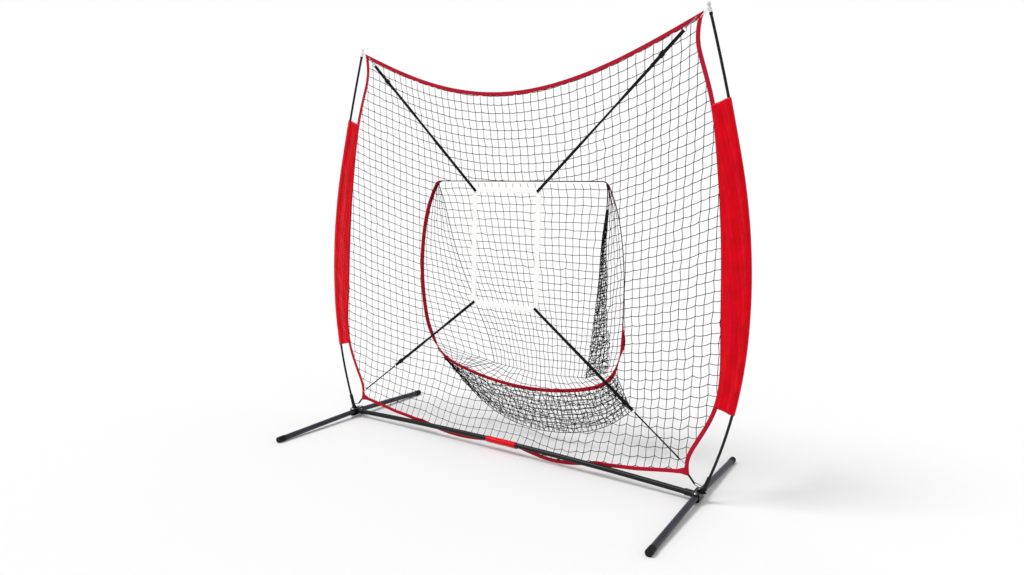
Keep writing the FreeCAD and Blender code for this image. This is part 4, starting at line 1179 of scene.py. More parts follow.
# ------------ bindings
@dataclass
class Bindings:
    """The crimson tape round the net and the folded tape round the pocket's mouth.

    Attributes:
        low_blend: Height below which the tape starts to hang, and over what height.
        outturn: Most angle, height and reach of the stretch that turns outwards on the right.
        uneven: How much the turning varies, and over what length.
    """

    outline: NetOutline
    pocket: PocketShape
    thickness: float = 0.0026
    tape_sides: int = 20
    wave: float = 0.0007
    wave_length: float = 0.11
    top_seed: int = 3
    side_seed: int = 5
    low_seed: int = 9
    mouth_width: float = 0.022
    mouth_thickness: float = 0.0044
    mouth_sides: int = 16
    mouth_overlap: float = 0.004
    mouth_points: tuple[int, int] = (480, 40)
    smoothing: int = 3
    low_blend: Pair = (0.60, 0.20)
    low_lean: Triple = (0.0, 0.38, -0.93)
    outturn: Triple = (1.15, 0.64, 0.05)
    inturn: float = 0.5
    uneven: Pair = (0.22, 0.5)
    mouth_seed: int = 71
    lacing: float = 0.0022
    lacing_inset: float = 0.005
    lacing_above: float = 0.72
    lacing_top: float = 0.02

    def tape(self, name: str, outer: Array, inner: Array, node: str, seed: int) -> Piece:
        """Makes one stretch of tape between its two edges, waving slightly in depth.

        Args:
            name: The piece's name.
            outer: Points of the outer edge.
            inner: Points of the inner edge.
            node: The node that the piece stands for.
            seed: Chooses the waves.

        Returns:
            The piece.
        """
        inner = resample(inner, len(outer))
        middle = (outer + inner) / 2
        width = np.linalg.norm(inner - outer, axis=1)
        across = (inner - outer) / width[:, None]
        waves = self.wave * soft_noise(lengths_along(middle)[:, None] / self.wave_length, seed)
        data = MeshData()
        add_band(data, middle + BACKWARDS * waves[:, None], across, width, self.thickness, self.tape_sides)
        piece = data.build(name)
        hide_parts(node)
        return piece

    def build(self) -> list[Piece]:
        """Makes the four tapes round the net and the one round the mouth."""
        o = self.outline
        pieces = [self.tape("top_binding", o.top_outer(), o.top_inner(), "top_hem", self.top_seed)]
        for side in Side:
            edges = o.side_outer() * side.flip, o.side_inner() * side.flip
            names = "side_binding_" + side.word, "side_hem_" + side.word
            pieces.append(self.tape(names[0], *edges, names[1], self.side_seed))
        edges = o.low_outer(), o.low_inner()
        pieces.append(self.tape("bottom_binding", *edges, "bottom_hem", self.low_seed))
        pieces.append(self.mouth())
        LOG.info("bindings: %d pieces", len(pieces))
        return pieces

    @cached_property
    def mouth_lines(self) -> tuple[Array, Array]:
        """Points round the mouth's edge, and the way the tape's width points from each.

        It points back at the top and the sides, and down the bag's front at the bottom. On
        the right it turns outwards by a exp(-((z - b) / c)^2) for a short way.
        """
        right = self.pocket.arcs()
        around, along_top = self.mouth_points
        top = self.pocket.top(along_top)
        path = np.concatenate([right, top[-2:0:-1], (right * MIRROR)[::-1]])
        path = resample(path, around + 1)[:-1]
        near = range(-self.smoothing, self.smoothing + 1)
        path = sum(np.roll(path, shift, axis=0) for shift in near) / len(near)
        z = path[:, 2]
        height, over = self.low_blend
        low = smooth_step((height - z) / over)[:, None]
        most, level, reach = self.outturn
        turned = most * np.exp(-(((z - level) / reach) ** 2)) * (path[:, 0] > 0) - self.inturn
        size, length = self.uneven
        turned = turned + size * soft_noise(lengths_along(path)[:, None] / length, self.mouth_seed)
        back = np.stack([np.sin(turned) * np.sign(path[:, 0]), np.cos(turned), 0 * z], -1)
        lean = back * (1 - low) + np.array(self.low_lean) * low
        tangent = unit(closed_run(path))
        lean -= tangent * (lean * tangent).sum(1, keepdims=True)
        return path, unit(lean)

    def mouth(self) -> Piece:
        """Makes the mouth's tape, which stands back along the net behind the edge."""
        path, lean = self.mouth_lines
        middle = path + lean * (self.mouth_width / 2 - self.mouth_overlap)
        data = MeshData()
        add_band(data, middle, lean, self.mouth_width, self.mouth_thickness, self.mouth_sides, closed=True)
        rim = data.build("pocket_mouth_binding")
        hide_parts("pocket_rim")
        return rim

    def edge_cord(self) -> Piece:
        """Makes the net's own edge cord, which shows behind the tape at the top and the right."""
        path, lean = self.mouth_lines
        x, z = path[:, 0], path[:, 2]
        chosen = (z > self.lacing_above) & ((x > 0) | (z > z.max() - self.lacing_top))
        data = MeshData()
        add_tube(data, (path - lean * self.lacing_inset)[chosen], self.lacing, ROUND_SIDES)
        return data.build("mouth_edge_cord")


@dataclass
class SideSleeve:
    """Red satin sleeve that holds the binding to the pole: two layers and a round pocket.

    Attributes:
        free_edges: How fast the folds set in from the sewn edge and from the pole, and the
            start that they have at the pole.
        fold: Depth of the folds, and what is added to their waves.
        fold_run: Length of a fold, its slant, and its width.
        crease_run: Length of a crease, its width, and its slant.
    """

    outline: NetOutline
    side: Side
    top: float = 1.738
    bottom: float = 0.425
    slant: float = 0.007
    pocket_radius: float = 0.0086
    layer: float = 0.0021
    cloth: float = 0.0009
    shown_hem: float = 0.006
    rows: int = 150
    columns: tuple[int, int] = (25, 15)
    edge_points: int = 601
    swell: float = 0.034
    free_edges: Triple = (3.0, 6.0, 0.25)
    fold: Pair = (0.0026, 0.9)
    fold_run: Triple = (0.16, 9, 0.03)
    crease: Pair = (0.0011, 1)
    crease_run: Triple = (0.045, 0.05, 3)
    seeds: tuple[tuple[int, int], tuple[int, int]] = ((11, 12), (23, 24))

    def strip(self) -> tuple[Array, Array, Array]:
        """The sleeve as an open strip of cloth.

        At each height the strip runs from the binding out to the pole at depth -y(d), round
        the pole at its pocket radius, and back at depth +y(d), where y falls from the radius
        to the flat layer's depth.

        Returns:
            The points by row and column, and the distances along and across the cloth.
        """
        o = self.outline
        flat, turned = self.columns
        edge = o.inset(o.side_outer(self.edge_points), o.hem_width - self.shown_hem)
        ends = o.pole.along_at_height(np.array([self.bottom, self.top]))
        centre, lean = o.pole.at(np.linspace(ends[0], ends[1], self.rows))
        inward = np.stack([-np.cos(lean), 0 * lean, np.sin(lean)], -1)
        outer_edge = np.interp(centre[:, 2], edge[::-1, 2], edge[::-1, 0])
        reach = (centre[:, 0] - outer_edge) / np.cos(lean)
        d = np.linspace(1, 0, flat)[None] * reach[:, None]
        deep = self.layer + (self.pocket_radius - self.layer) * smooth_step(1 - d / self.swell)
        turn = np.linspace(0, math.pi, turned + 2)[1:-1]
        arc_d, arc_y = (
            np.broadcast_to(-self.pocket_radius * wave, (self.rows, turned))
            for wave in (np.sin(turn), np.cos(turn))
        )
        across = np.concatenate([d, arc_d, d[:, ::-1]], 1)
        depth = np.concatenate([-deep, arc_y, deep[:, ::-1]], 1)
        grid = centre[:, None] + across[..., None] * inward[:, None]
        grid[..., 1] += depth
        grid[..., 1] += np.sign(depth) * self.push(grid[..., 2], across, depth, reach)
        middle, half = (self.top + self.bottom) / 2, (self.top - self.bottom) / 2
        level = (grid[..., 2] - middle) / half
        grid[..., 2] += self.slant * level**3 * (0.5 - across / reach[:, None])
        grid = grid * self.side.flip
        steps = np.linalg.norm(np.diff(grid, axis=1), axis=2)
        width = np.concatenate([np.zeros((self.rows, 1)), np.cumsum(steps, 1)], 1)
        return grid, lengths_along(centre)[:, None], width

    def push(self, z: Array, across: Array, depth: Array, reach: Array) -> Array:
        """How far folds push the cloth out: waves along and slantwise, none at the sewn edge.

        Args:
            z: Height of each point.
            across: Distance of each point from the pole, along the cloth.
            depth: Depth of each point; its sign tells the layers apart.
            reach: The cloth's width in each row.

        Returns:
            The push at each point.
        """
        share = np.clip(across / reach[:, None], 0, 1)
        from_edge, from_pole, start = self.free_edges
        free = smooth_step((1 - share) * from_edge) * smooth_step(share * from_pole + start)
        length, slant, width = self.fold_run
        slantwise = np.stack([z / length + across * slant, across / width], -1)
        length, width, slant = self.crease_run
        fine = np.stack([z / length, across / width + z * slant], -1)
        front, rear = self.seeds
        folds, creases = (
            np.where(depth < 0, soft_noise(at, front[k]), soft_noise(at, rear[k]))
            for k, at in enumerate((slantwise, fine))
        )
        return (self.fold[0] * (folds + self.fold[1]) + self.crease[0] * (creases + self.crease[1])) * free

    def build(self) -> Piece:
        """Makes the sleeve, given its thickness by a modifier."""
        grid, along, width = self.strip()
        data = MeshData()
        data.add_grid(grid, pair_up(along, width))
        word = self.side.word
        piece = data.build("side_sleeve_cloth_" + word)
        thicken(piece, self.cloth)
        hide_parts("side_sleeve_" + word)
        flat = (float(width[:, -1].mean()), float(along[-1, 0]))
        LOG.info("sleeve %s: %.3f by %.3f m flat", word, *flat)
        return piece


@dataclass
class CentreWrap:
    """Red hook-and-loop wrap that ties the bottom binding to the middle of the crossbar.

    Attributes:
        around: Angle at which the part round the bar starts, and how far it goes, in degrees.
        wave: Depth of the waves, and their length along and round.
    """

    half_length: float = 0.090
    bar_height: float = 0.058
    radius: float = 0.0140
    rear: float = 0.0172
    top: float = 0.0575
    low: float = 0.0343
    cloth: float = 0.0014
    bend: float = 0.004
    bend_turn: float = 0.62
    around: Pair = (-125, 190)
    steps: tuple[int, int, int] = (12, 8, 40)
    size: tuple[int, int] = (61, 72)
    wave: Triple = (0.0005, 0.05, 0.03)
    seed: int = 31

    def profile(self) -> Array:
        """The strip's way round: down behind the binding, under it, and up round the bar."""
        on_rear, on_bend, on_bar = self.steps
        rise = np.linspace(self.top, self.low + self.bend, on_rear)
        back = np.stack([np.full_like(rise, self.rear), rise], -1)
        turn = np.linspace(0, -math.pi * self.bend_turn, on_bend + 1)[1:]
        foot = np.array([self.rear - self.bend, self.low + self.bend])
        corner = foot + self.bend * np.stack([np.cos(turn), np.sin(turn)], -1)
        start, sweep = (math.radians(angle) for angle in self.around)
        around = np.linspace(start, start - sweep, on_bar)
        bar = np.stack([np.cos(around), np.sin(around)], -1) * self.radius
        bar[:, 1] += self.bar_height
        return resample(np.concatenate([back, corner, bar]), self.size[1])

    def build(self) -> Piece:
        """Makes the wrap: its profile carried along X, with small waves."""
        profile = self.profile()
        x = np.linspace(-self.half_length, self.half_length, self.size[0])
        grid = np.empty((len(x), len(profile), 3))
        grid[..., 0] = x[:, None]
        grid[..., 1:] = profile[None]
        tangent = unit(np.gradient(profile, axis=0))
        normal = np.stack([tangent[:, 1], -tangent[:, 0]], -1)
        girth = lengths_along(profile)
        depth, along, around = self.wave
        wave = depth * (soft_noise(pair_up(x[:, None] / along, girth[None] / around), self.seed) + 1)
        grid[..., 1:] -= wave[..., None] * normal[None]
        data = MeshData()
        data.add_grid(grid, pair_up(x[:, None], girth[None]))
        piece = data.build("centre_wrap_cloth")
        thicken(piece, self.cloth)
        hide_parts("crossbar_wrap")
        return piece


# ------------ strike zone and straps
@dataclass
class StrikeZone:
    """White webbing rectangle in front of the pocket's mouth.

    Attributes:
        level: Points on a level band, the length of its swerves, and their seed.
        upright: The same for an upright band.
    """

    width: float = 0.405
    height: float = 0.610
    centre: float = 1.066
    band: float = 0.027
    front: float = -0.0042
    thickness: float = 0.0016
    uneven: float = 0.0012
    level: tuple[int, float, int] = (60, 0.2, 41)
    upright: tuple[int, float, int] = (80, 0.3, 51)

    @property
    def half_sides(self) -> Pair:
        """Half the distance between the bands' middles, across and up."""
        return (self.width - self.band) / 2, (self.height - self.band) / 2

    def swerve(self, length: float, kind: tuple[int, float, int], side: Side) -> tuple[Array, Array]:
        """Places along a band from its middle, and how far it swerves at each."""
        count, wave, seed = kind
        t = np.linspace(-length / 2, length / 2, count)
        return t, self.uneven * soft_noise(t[:, None] / wave, seed + side.value)

    def build(self) -> Piece:
        """Makes the two level bands with the two upright ones sewn behind them."""
        data = MeshData()
        half_w, half_h = self.half_sides
        middle = self.front + self.thickness / 2
        for side in Side:
            t, sag = self.swerve(self.width, self.level, side)
            path = np.stack([t, np.full_like(t, middle), self.centre + side.value * half_h + sag], -1)
            self.add(data, path, [0.0, 0, 1.0])
            t, lean = self.swerve(self.height, self.upright, side)
            depth = np.full_like(t, middle + self.thickness)
            path = np.stack([side.value * half_w + lean, depth, self.centre + t], -1)
            self.add(data, path, [1.0, 0, 0.0])
        piece = data.build("strike_zone_webbing")
        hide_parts("strike_zone_frame")
        LOG.info("strike zone: %.3f by %.3f m", self.width, self.height)
        return piece

    def add(self, data: MeshData, path: Array, across: list[float]) -> None:
        """Adds one band whose width lies along a fixed direction."""
        add_band(data, path, np.broadcast_to(across, path.shape), self.band, self.thickness)


@dataclass
class Strap:
    """One black strap from the strike zone's corner to the net's corner, with its elastic.

    Attributes:
        twist: Angle by which the webbing turns; the second is for the loosest strap.
        twist_in: Share of the length at which it starts to turn, and over what share.
        twist_out: Share at which it lies flat again, and over what share.
        eye: Radius of the loop at each end of the elastic, and of that loop's cord.
        whipping: Where a loop's whipping starts and ends, and its thickness as a factor.
    """

    zone: StrikeZone
    outline: NetOutline
    upper: bool
    side: Side
    width: float = 0.015
    thickness: float = 0.0012
    front: float = -0.0056
    layer_gap: float = 0.0028
    upper_end: Triple = (-0.030, 0, -0.024)
    lower_end: Pair = (-0.020, 0.052)
    upper_hook: float = 0.056
    lower_hook: float = 0.034
    ring_depth: float = 0.014
    upper_tail: float = 0.190
    lower_tail: float = 0.110
    start: float = -0.010
    steps: tuple[int, int, int] = (90, 12, 30)
    twist: Pair = (0.45, 1.12)
    twist_in: Pair = (0.22, 0.24)
    twist_out: Pair = (0.70, 0.16)
    elastic_length: float = 0.280
    elastic_radius: float = 0.0034
    elastic_sides: int = 14
    elastic_inset: float = 0.004
    elastic_steps: int = 60
    eye: Pair = (0.0031, 0.0013)
    eye_steps: int = 24
    whipping: Triple = (0.005, 0.016, 1.25)
    whip_steps: int = 6

    def frame(self) -> tuple[Array, Array, Array, float]:
        """The strap's start, its run, the direction across it, and its length to the ring."""
        half_w, half_h = self.zone.half_sides
        start = np.array([half_w, 0, self.zone.centre + (half_h if self.upper else -half_h)])
        if self.upper:
            target = self.outline.top_corner() + self.upper_end
        else:
            x, z = np.add(self.outline.low_tip, self.lower_end)
            target = np.array([x, 0, z])
        reach = np.linalg.norm(target - start)
        run = (target - start) / reach
        length = reach - (self.upper_hook if self.upper else self.lower_hook) - self.ring_depth
        if not self.upper:
            length -= self.elastic_length
        return start, run, np.cross(run, BACKWARDS), float(length)

    def build(self) -> Piece:
        """Makes the webbing: out along the strap, round the ring and back as a flat tail."""
        start, run, across, length = self.frame()
        tail = self.upper_tail if self.upper else self.lower_tail
        going, turning, coming = self.steps
        main_y = self.front + self.thickness / 2
        fold_y = self.front - self.layer_gap / 2
        tail_y = 2 * fold_y - main_y
        radius = main_y - fold_y
        out = np.linspace(self.start, length, going)
        turn = np.linspace(math.pi / 2, -math.pi / 2, turning + 2)[1:-1]
        home = np.linspace(length, length - tail, coming)
        x = np.concatenate([out, length + radius * np.cos(turn), home])
        around = fold_y + radius * np.sin(turn)
        y = np.concatenate([np.full(going, main_y), around, np.full(coming, tail_y)])
        path = (start + x[:, None] * run + y[:, None] * BACKWARDS) * self.side.flip
        twist = self.twisted(out / length, len(x))[:, None]
        cross = (np.cos(twist) * across + np.sin(twist) * BACKWARDS) * self.side.flip
        data = MeshData()
        add_band(data, path, cross, self.width, self.thickness)
        level = "upper" if self.upper else "lower"
        return data.build("%s_strap_%s" % (level, self.side.word))

    def twisted(self, share: Array, count: int) -> Array:
        """The webbing's turn at each point: it rises, falls, and is none from there on.

        Args:
            share: Share of the length at the points on the way out.
            count: Number of all the points.

        Returns:
            The angles.
        """
        most = self.twist[self.upper and self.side is Side.LEFT]
        (start, rise), (end, fall) = self.twist_in, self.twist_out
        twist = np.zeros(count)
        turned = most * smooth_step((share - start) / rise) * smooth_step((end - share) / fall)
        twist[: len(share)] = turned
        return twist

    def elastic(self) -> Piece:
        """Makes the elastic cord: a braid with a whipped loop at each end."""
        start, run, _, length = self.frame()
        depth = np.array([0.0, self.front - self.layer_gap / 2, 0.0])
        first = length + self.ring_depth
        last = first + self.elastic_length
        near, far, swelling = self.whipping
        eye, eye_cord = self.eye
        turn = np.linspace(0, FULL_TURN, self.eye_steps + 1)[:-1, None]
        data = MeshData()
        x = np.linspace(first + self.elastic_inset, last - self.elastic_inset, self.elastic_steps)
        path = start + x[:, None] * run + depth
        add_tube(data, path * self.side.flip, self.elastic_radius, self.elastic_sides)
        for centre, away in ((first, 1), (last, -1)):
            loop = centre * run + start + depth + eye * (np.cos(turn) * run + np.sin(turn) * BACKWARDS)
            add_loop(data, loop * self.side.flip, eye_cord, ROUND_SIDES)
            x = centre + away * np.linspace(near, far, self.whip_steps)
            whip = (start + x[:, None] * run + depth) * self.side.flip
            add_tube(data, whip, self.elastic_radius * swelling, self.elastic_sides)
        return data.build("elastic_cord_" + self.side.word)


# ------------ corner cords
@dataclass
class CornerCords:
    """White elastic loop at the pole's tip and black hold-down loop at the hub, on one side.

    Attributes:
        cap: From the tip down to the pole's end, the thickness of the cap's lid there, and
            from the lid up to the loop.
    """

    outline: NetOutline
    side: Side
    loop_cord: float = 0.00125
    loop_radius: float = 0.007
    cap: Triple = (0.027, 0.003, 0.0064)
    eyelet: Triple = (-0.012, 0, -0.028)
    hold_cord: float = 0.0014
    hold_radius: float = 0.0116
    hold_height: float = 0.024
    hold_reach: float = 0.038
    points: int = 72
    sides: int = 10

    def stadium(self, first: Array, second: Array, radius: float) -> Array:
        """A closed loop round two points in the plane of Y and their line.

        Args:
            first: The first point.
            second: The second point.
            radius: Half the loop's width.

        Returns:
            Points round the loop; the last isn't the first again.
        """
        run = (second - first) / np.linalg.norm(second - first)
        turn = np.linspace(0, math.pi, self.points // 3)[:, None]
        bow = radius * (np.sin(turn) * run + np.cos(turn) * BACKWARDS)
        path = np.concatenate([second + bow, first - bow, second + bow[:1]])
        return resample(path, self.points + 1)[:-1]

    def loop(self, name: str, path: Array, radius: float) -> Piece:
        """Makes a loop of cord along a path on the right side, brought to its own side."""
        data = MeshData()
        add_loop(data, path * self.side.flip, radius, self.sides)
        return data.build(name + self.side.word)

    def build(self) -> list[Piece]:
        """Makes the two loops."""
        pole = self.outline.pole
        below, lid, rise = self.cap
        tip_s = pole.along_at_height(np.array([self.outline.tip_height]))[0]
        neck = pole.at(np.array([tip_s - below + lid + rise]))[0][0]
        hole = self.outline.top_corner() + self.eyelet
        run = (hole - neck) / np.linalg.norm(hole - neck)
        white = self.stadium(neck, hole - run * self.loop_radius, self.loop_radius)
        seat = pole.at(np.array([self.hold_height]))[0][0]
        aim = np.array([-math.cos(pole.lean), 0, math.sin(pole.lean)])
        black = self.stadium(seat, seat + aim * self.hold_reach, self.hold_radius)
        return [
            self.loop("top_corner_loop_", white, self.loop_cord),
            self.loop("hold_down_loop_", black, self.hold_cord),
        ]


# ------------ material building
Socket = bpy.types.NodeSocket
Fed = Socket | float | tuple[float, ...]
MIX_INPUTS = (0, 6, 7)
MIX_RESULT = 2
CLOUD_DETAIL = 3.0
GRAIN_DETAIL = 2.0


class Nodes:
    """Short ways to add and link nodes in one node tree."""

    def __init__(self, tree: bpy.types.NodeTree) -> None:
        """Keeps the tree that the nodes go into."""
        self.tree = tree

    def add(self, kind: str, settings: dict | None = None, **inputs: Fed) -> bpy.types.Node:
        """Adds a node.

        Args:
            kind: The node's type, without "ShaderNode".
            settings: Values of the node's own properties.
            inputs: Values or output sockets for its inputs; underscores stand for spaces.

        Returns:
            The node.
        """
        node = self.tree.nodes.new("ShaderNode" + kind)
        for key, value in (settings or {}).items():
            setattr(node, key, value)
        for key, value in inputs.items():
            self.feed(node, key.replace("_", " "), value)
        return node

    def feed(self, node: bpy.types.Node, name: str | int, value: Fed) -> None:
        """Gives one input a value or links an output socket to it.

        Args:
            node: The node.
            name: The input's name or number.
            value: The value, or the output socket.
        """
        socket = node.inputs[name]
        if isinstance(value, Socket):
            self.tree.links.new(value, socket)
        else:
            socket.default_value = value

    def math(self, operation: str, *values: Fed) -> Socket:
        """A math node's result.

        Args:
            operation: The node's operation.
            values: Numbers or output sockets; inputs that are left out get 0.

        Returns:
            The result's socket.
        """
        node = self.add("Math", {"operation": operation})
        for index in range(len(node.inputs)):
            self.feed(node, index, values[index] if index < len(values) else 0.0)
        return node.outputs[0]

    def mix(self, factor: Fed, first: Fed, second: Fed) -> Socket:
        """A colour mix's result.

        Args:
            factor: Share of the second colour.
            first: The first colour.
            second: The second colour.

        Returns:
            The mixed colour's socket.
        """
        node = self.add("Mix", {"data_type": "RGBA"})
        for index, value in zip(MIX_INPUTS, (factor, first, second)):
            self.feed(node, index, value)
        return node.outputs[MIX_RESULT]

    def span(self, value: Fed, low: float, high: float, to_low: float, to_high: float) -> Socket:
        """A value carried from one range to another, held at its ends.

        Args:
            value: The value.
            low: Where the first range starts.
            high: Where it ends.
            to_low: Where the second range starts.
            to_high: Where it ends.

        Returns:
            The result's socket.
        """
        node = self.add("MapRange")
        for index, number in enumerate((value, low, high, to_low, to_high)):
            self.feed(node, index, number)
        return node.outputs[0]


def linear(red: int, green: int, blue: int) -> Colour:
    """A screen colour as linear light, by the sRGB curve.

    Args:
        red: Red from 0 to 255.
        green: Green from 0 to 255.
        blue: Blue from 0 to 255.

    Returns:
        The colour with full alpha.
    """
    share = np.array([red, green, blue]) / 255
    light = np.where(share <= 0.04045, share / 12.92, ((share + 0.055) / 1.055) ** 2.4)
    return (*[float(v) for v in light], 1.0)


class Shared:
    """Node groups that several materials use; each is made once."""

    made: dict[str, bpy.types.NodeTree] = {}
    thread_relief = 0.0004
    grain_relief = 0.0005

    @classmethod
    def start(
        cls, name: str, inputs: dict[str, float | None], outputs: dict[str, str]
    ) -> tuple[Nodes, bpy.types.Node, bpy.types.Node]:
        """Makes an empty group with its sockets.

        Args:
            name: The group's name.
            inputs: Default of each input; None stands for a vector.
            outputs: Type of each output.

        Returns:
            The group's nodes, its input node and its output node.
        """
        tree = bpy.data.node_groups.new(name, "ShaderNodeTree")
        for key, value in inputs.items():
            kind = "NodeSocketVector" if value is None else "NodeSocketFloat"
            socket = tree.interface.new_socket(key, in_out="INPUT", socket_type=kind)
            if value is not None:
                socket.default_value = value
        for key, kind in outputs.items():
            tree.interface.new_socket(key, in_out="OUTPUT", socket_type=kind)
        nodes = Nodes(tree)
        cls.made[name] = tree
        return nodes, tree.nodes.new("NodeGroupInput"), tree.nodes.new("NodeGroupOutput")

    @classmethod
    def weave(cls) -> bpy.types.NodeTree:
        """Woven cloth, by UV in metres: the threads' mask is sin(pi x) sin(pi y), from 0 to 1."""
        if "woven_threads" in cls.made:
            return cls.made["woven_threads"]
        n, given, result = cls.start(
            "woven_threads",
            {"Place": None, "Thread": 0.001, "Skew": 0.0, "Height": 0.3},
            {"Threads": "NodeSocketFloat", "Normal": "NodeSocketVector"},
        )
        split = n.add("SeparateXYZ", Vector=given.outputs["Place"])
        x = n.math("DIVIDE", split.outputs[0], given.outputs["Thread"])
        y = n.math("DIVIDE", split.outputs[1], given.outputs["Thread"])
        x = n.math("ADD", x, n.math("MULTIPLY", y, given.outputs["Skew"]))
        first = n.math("SINE", n.math("MULTIPLY", x, math.pi))
        second = n.math("SINE", n.math("MULTIPLY", y, math.pi))
        over = n.math("MULTIPLY", first, second)
        threads = n.span(over, -1.0, 1.0, 0.0, 1.0)
        bump = n.add("Bump", Strength=given.outputs["Height"], Distance=cls.thread_relief, Height=threads)
        n.feed(result, "Threads", threads)
        n.feed(result, "Normal", bump.outputs[0])
        return cls.made["woven_threads"]

    @classmethod
    def wear(cls) -> bpy.types.NodeTree:
        """Uneven colour and roughness: broad clouds and fine grain, by object coordinates."""
        if "surface_wear" in cls.made:
            return cls.made["surface_wear"]
        n, given, result = cls.start(
            "surface_wear",
            {"Place": None, "Broad": 6.0, "Fine": 260.0, "Height": 0.1},
            {"Clouds": "NodeSocketFloat", "Grain": "NodeSocketFloat", "Normal": "NodeSocketVector"},
        )
        place, height = given.outputs["Place"], given.outputs["Height"]
        clouds = n.add("TexNoise", Vector=place, Scale=given.outputs["Broad"], Detail=CLOUD_DETAIL)
        grain = n.add("TexNoise", Vector=place, Scale=given.outputs["Fine"], Detail=GRAIN_DETAIL)
        bump = n.add("Bump", Strength=height, Distance=cls.grain_relief, Height=grain.outputs[0])
        n.feed(result, "Clouds", clouds.outputs[0])
        n.feed(result, "Grain", grain.outputs[0])
        n.feed(result, "Normal", bump.outputs[0])
        return cls.made["surface_wear"]


@dataclass(frozen=True)
class Finish:
    """What every finish has: a name and a way to make its material."""

    name: str

    def material(self) -> bpy.types.Material:
        """Makes the material and fills it in."""
        material = bpy.data.materials.new(self.name)
        material.use_nodes = True
        nodes = Nodes(material.node_tree)
        shader = material.node_tree.nodes["Principled BSDF"]
        self.fill(nodes, shader)
        return material

    def fill(self, n: Nodes, shader: bpy.types.Node) -> None:
        """Sets the shader's sockets; each kind of finish has its own way.

        Args:
            n: The material's nodes.
            shader: Its Principled BSDF.
        """
        raise NotImplementedError


@dataclass(frozen=True)
class HardFinish(Finish):
    """Coated metal, bare metal, rod or moulded plastic, with clouds and grain.

    Attributes:
        colour: Screen colour.
        rough: Lowest and highest roughness.
        metallic: 1 for bare metal.
        grain: Strength of the fine relief.
        spread: How much the clouds lighten or darken the colour.
        cloud_range: Clouds that give the darkest and the lightest colour.
        grain_range: Grain that gives the lowest and the highest roughness.
    """

    colour: tuple[int, int, int]
    rough: Pair = (0.35, 0.5)
    metallic: float = 0.0
    grain: float = 0.12
    grain_scale: float = 900.0
    spread: float = 0.25
    shine: float = 0.22
    cloud_range: Pair = (0.35, 0.65)
    grain_range: Pair = (0.3, 0.7)

    def fill(self, n: Nodes, shader: bpy.types.Node) -> None:
        """Principled with the shared wear group on colour, roughness and normal."""
        place = n.add("TexCoord").outputs["Object"]
        group = {"node_tree": Shared.wear()}
        wear = n.add("Group", group, Place=place, Fine=self.grain_scale, Height=self.grain)
        base = linear(*self.colour)
        dark = tuple(c * (1 - self.spread) for c in base[:3]) + (1.0,)
        light = tuple(min(1.0, c * (1 + self.spread)) for c in base[:3]) + (1.0,)
        clouds = n.span(wear.outputs["Clouds"], *self.cloud_range, 0.0, 1.0)
        n.feed(shader, "Base Color", n.mix(clouds, dark, light))
        n.feed(shader, "Roughness", n.span(wear.outputs["Grain"], *self.grain_range, *self.rough))
        n.feed(shader, "Normal", wear.outputs["Normal"])
        shader.inputs["Metallic"].default_value = self.metallic
        shader.inputs["Specular IOR Level"].default_value = self.shine


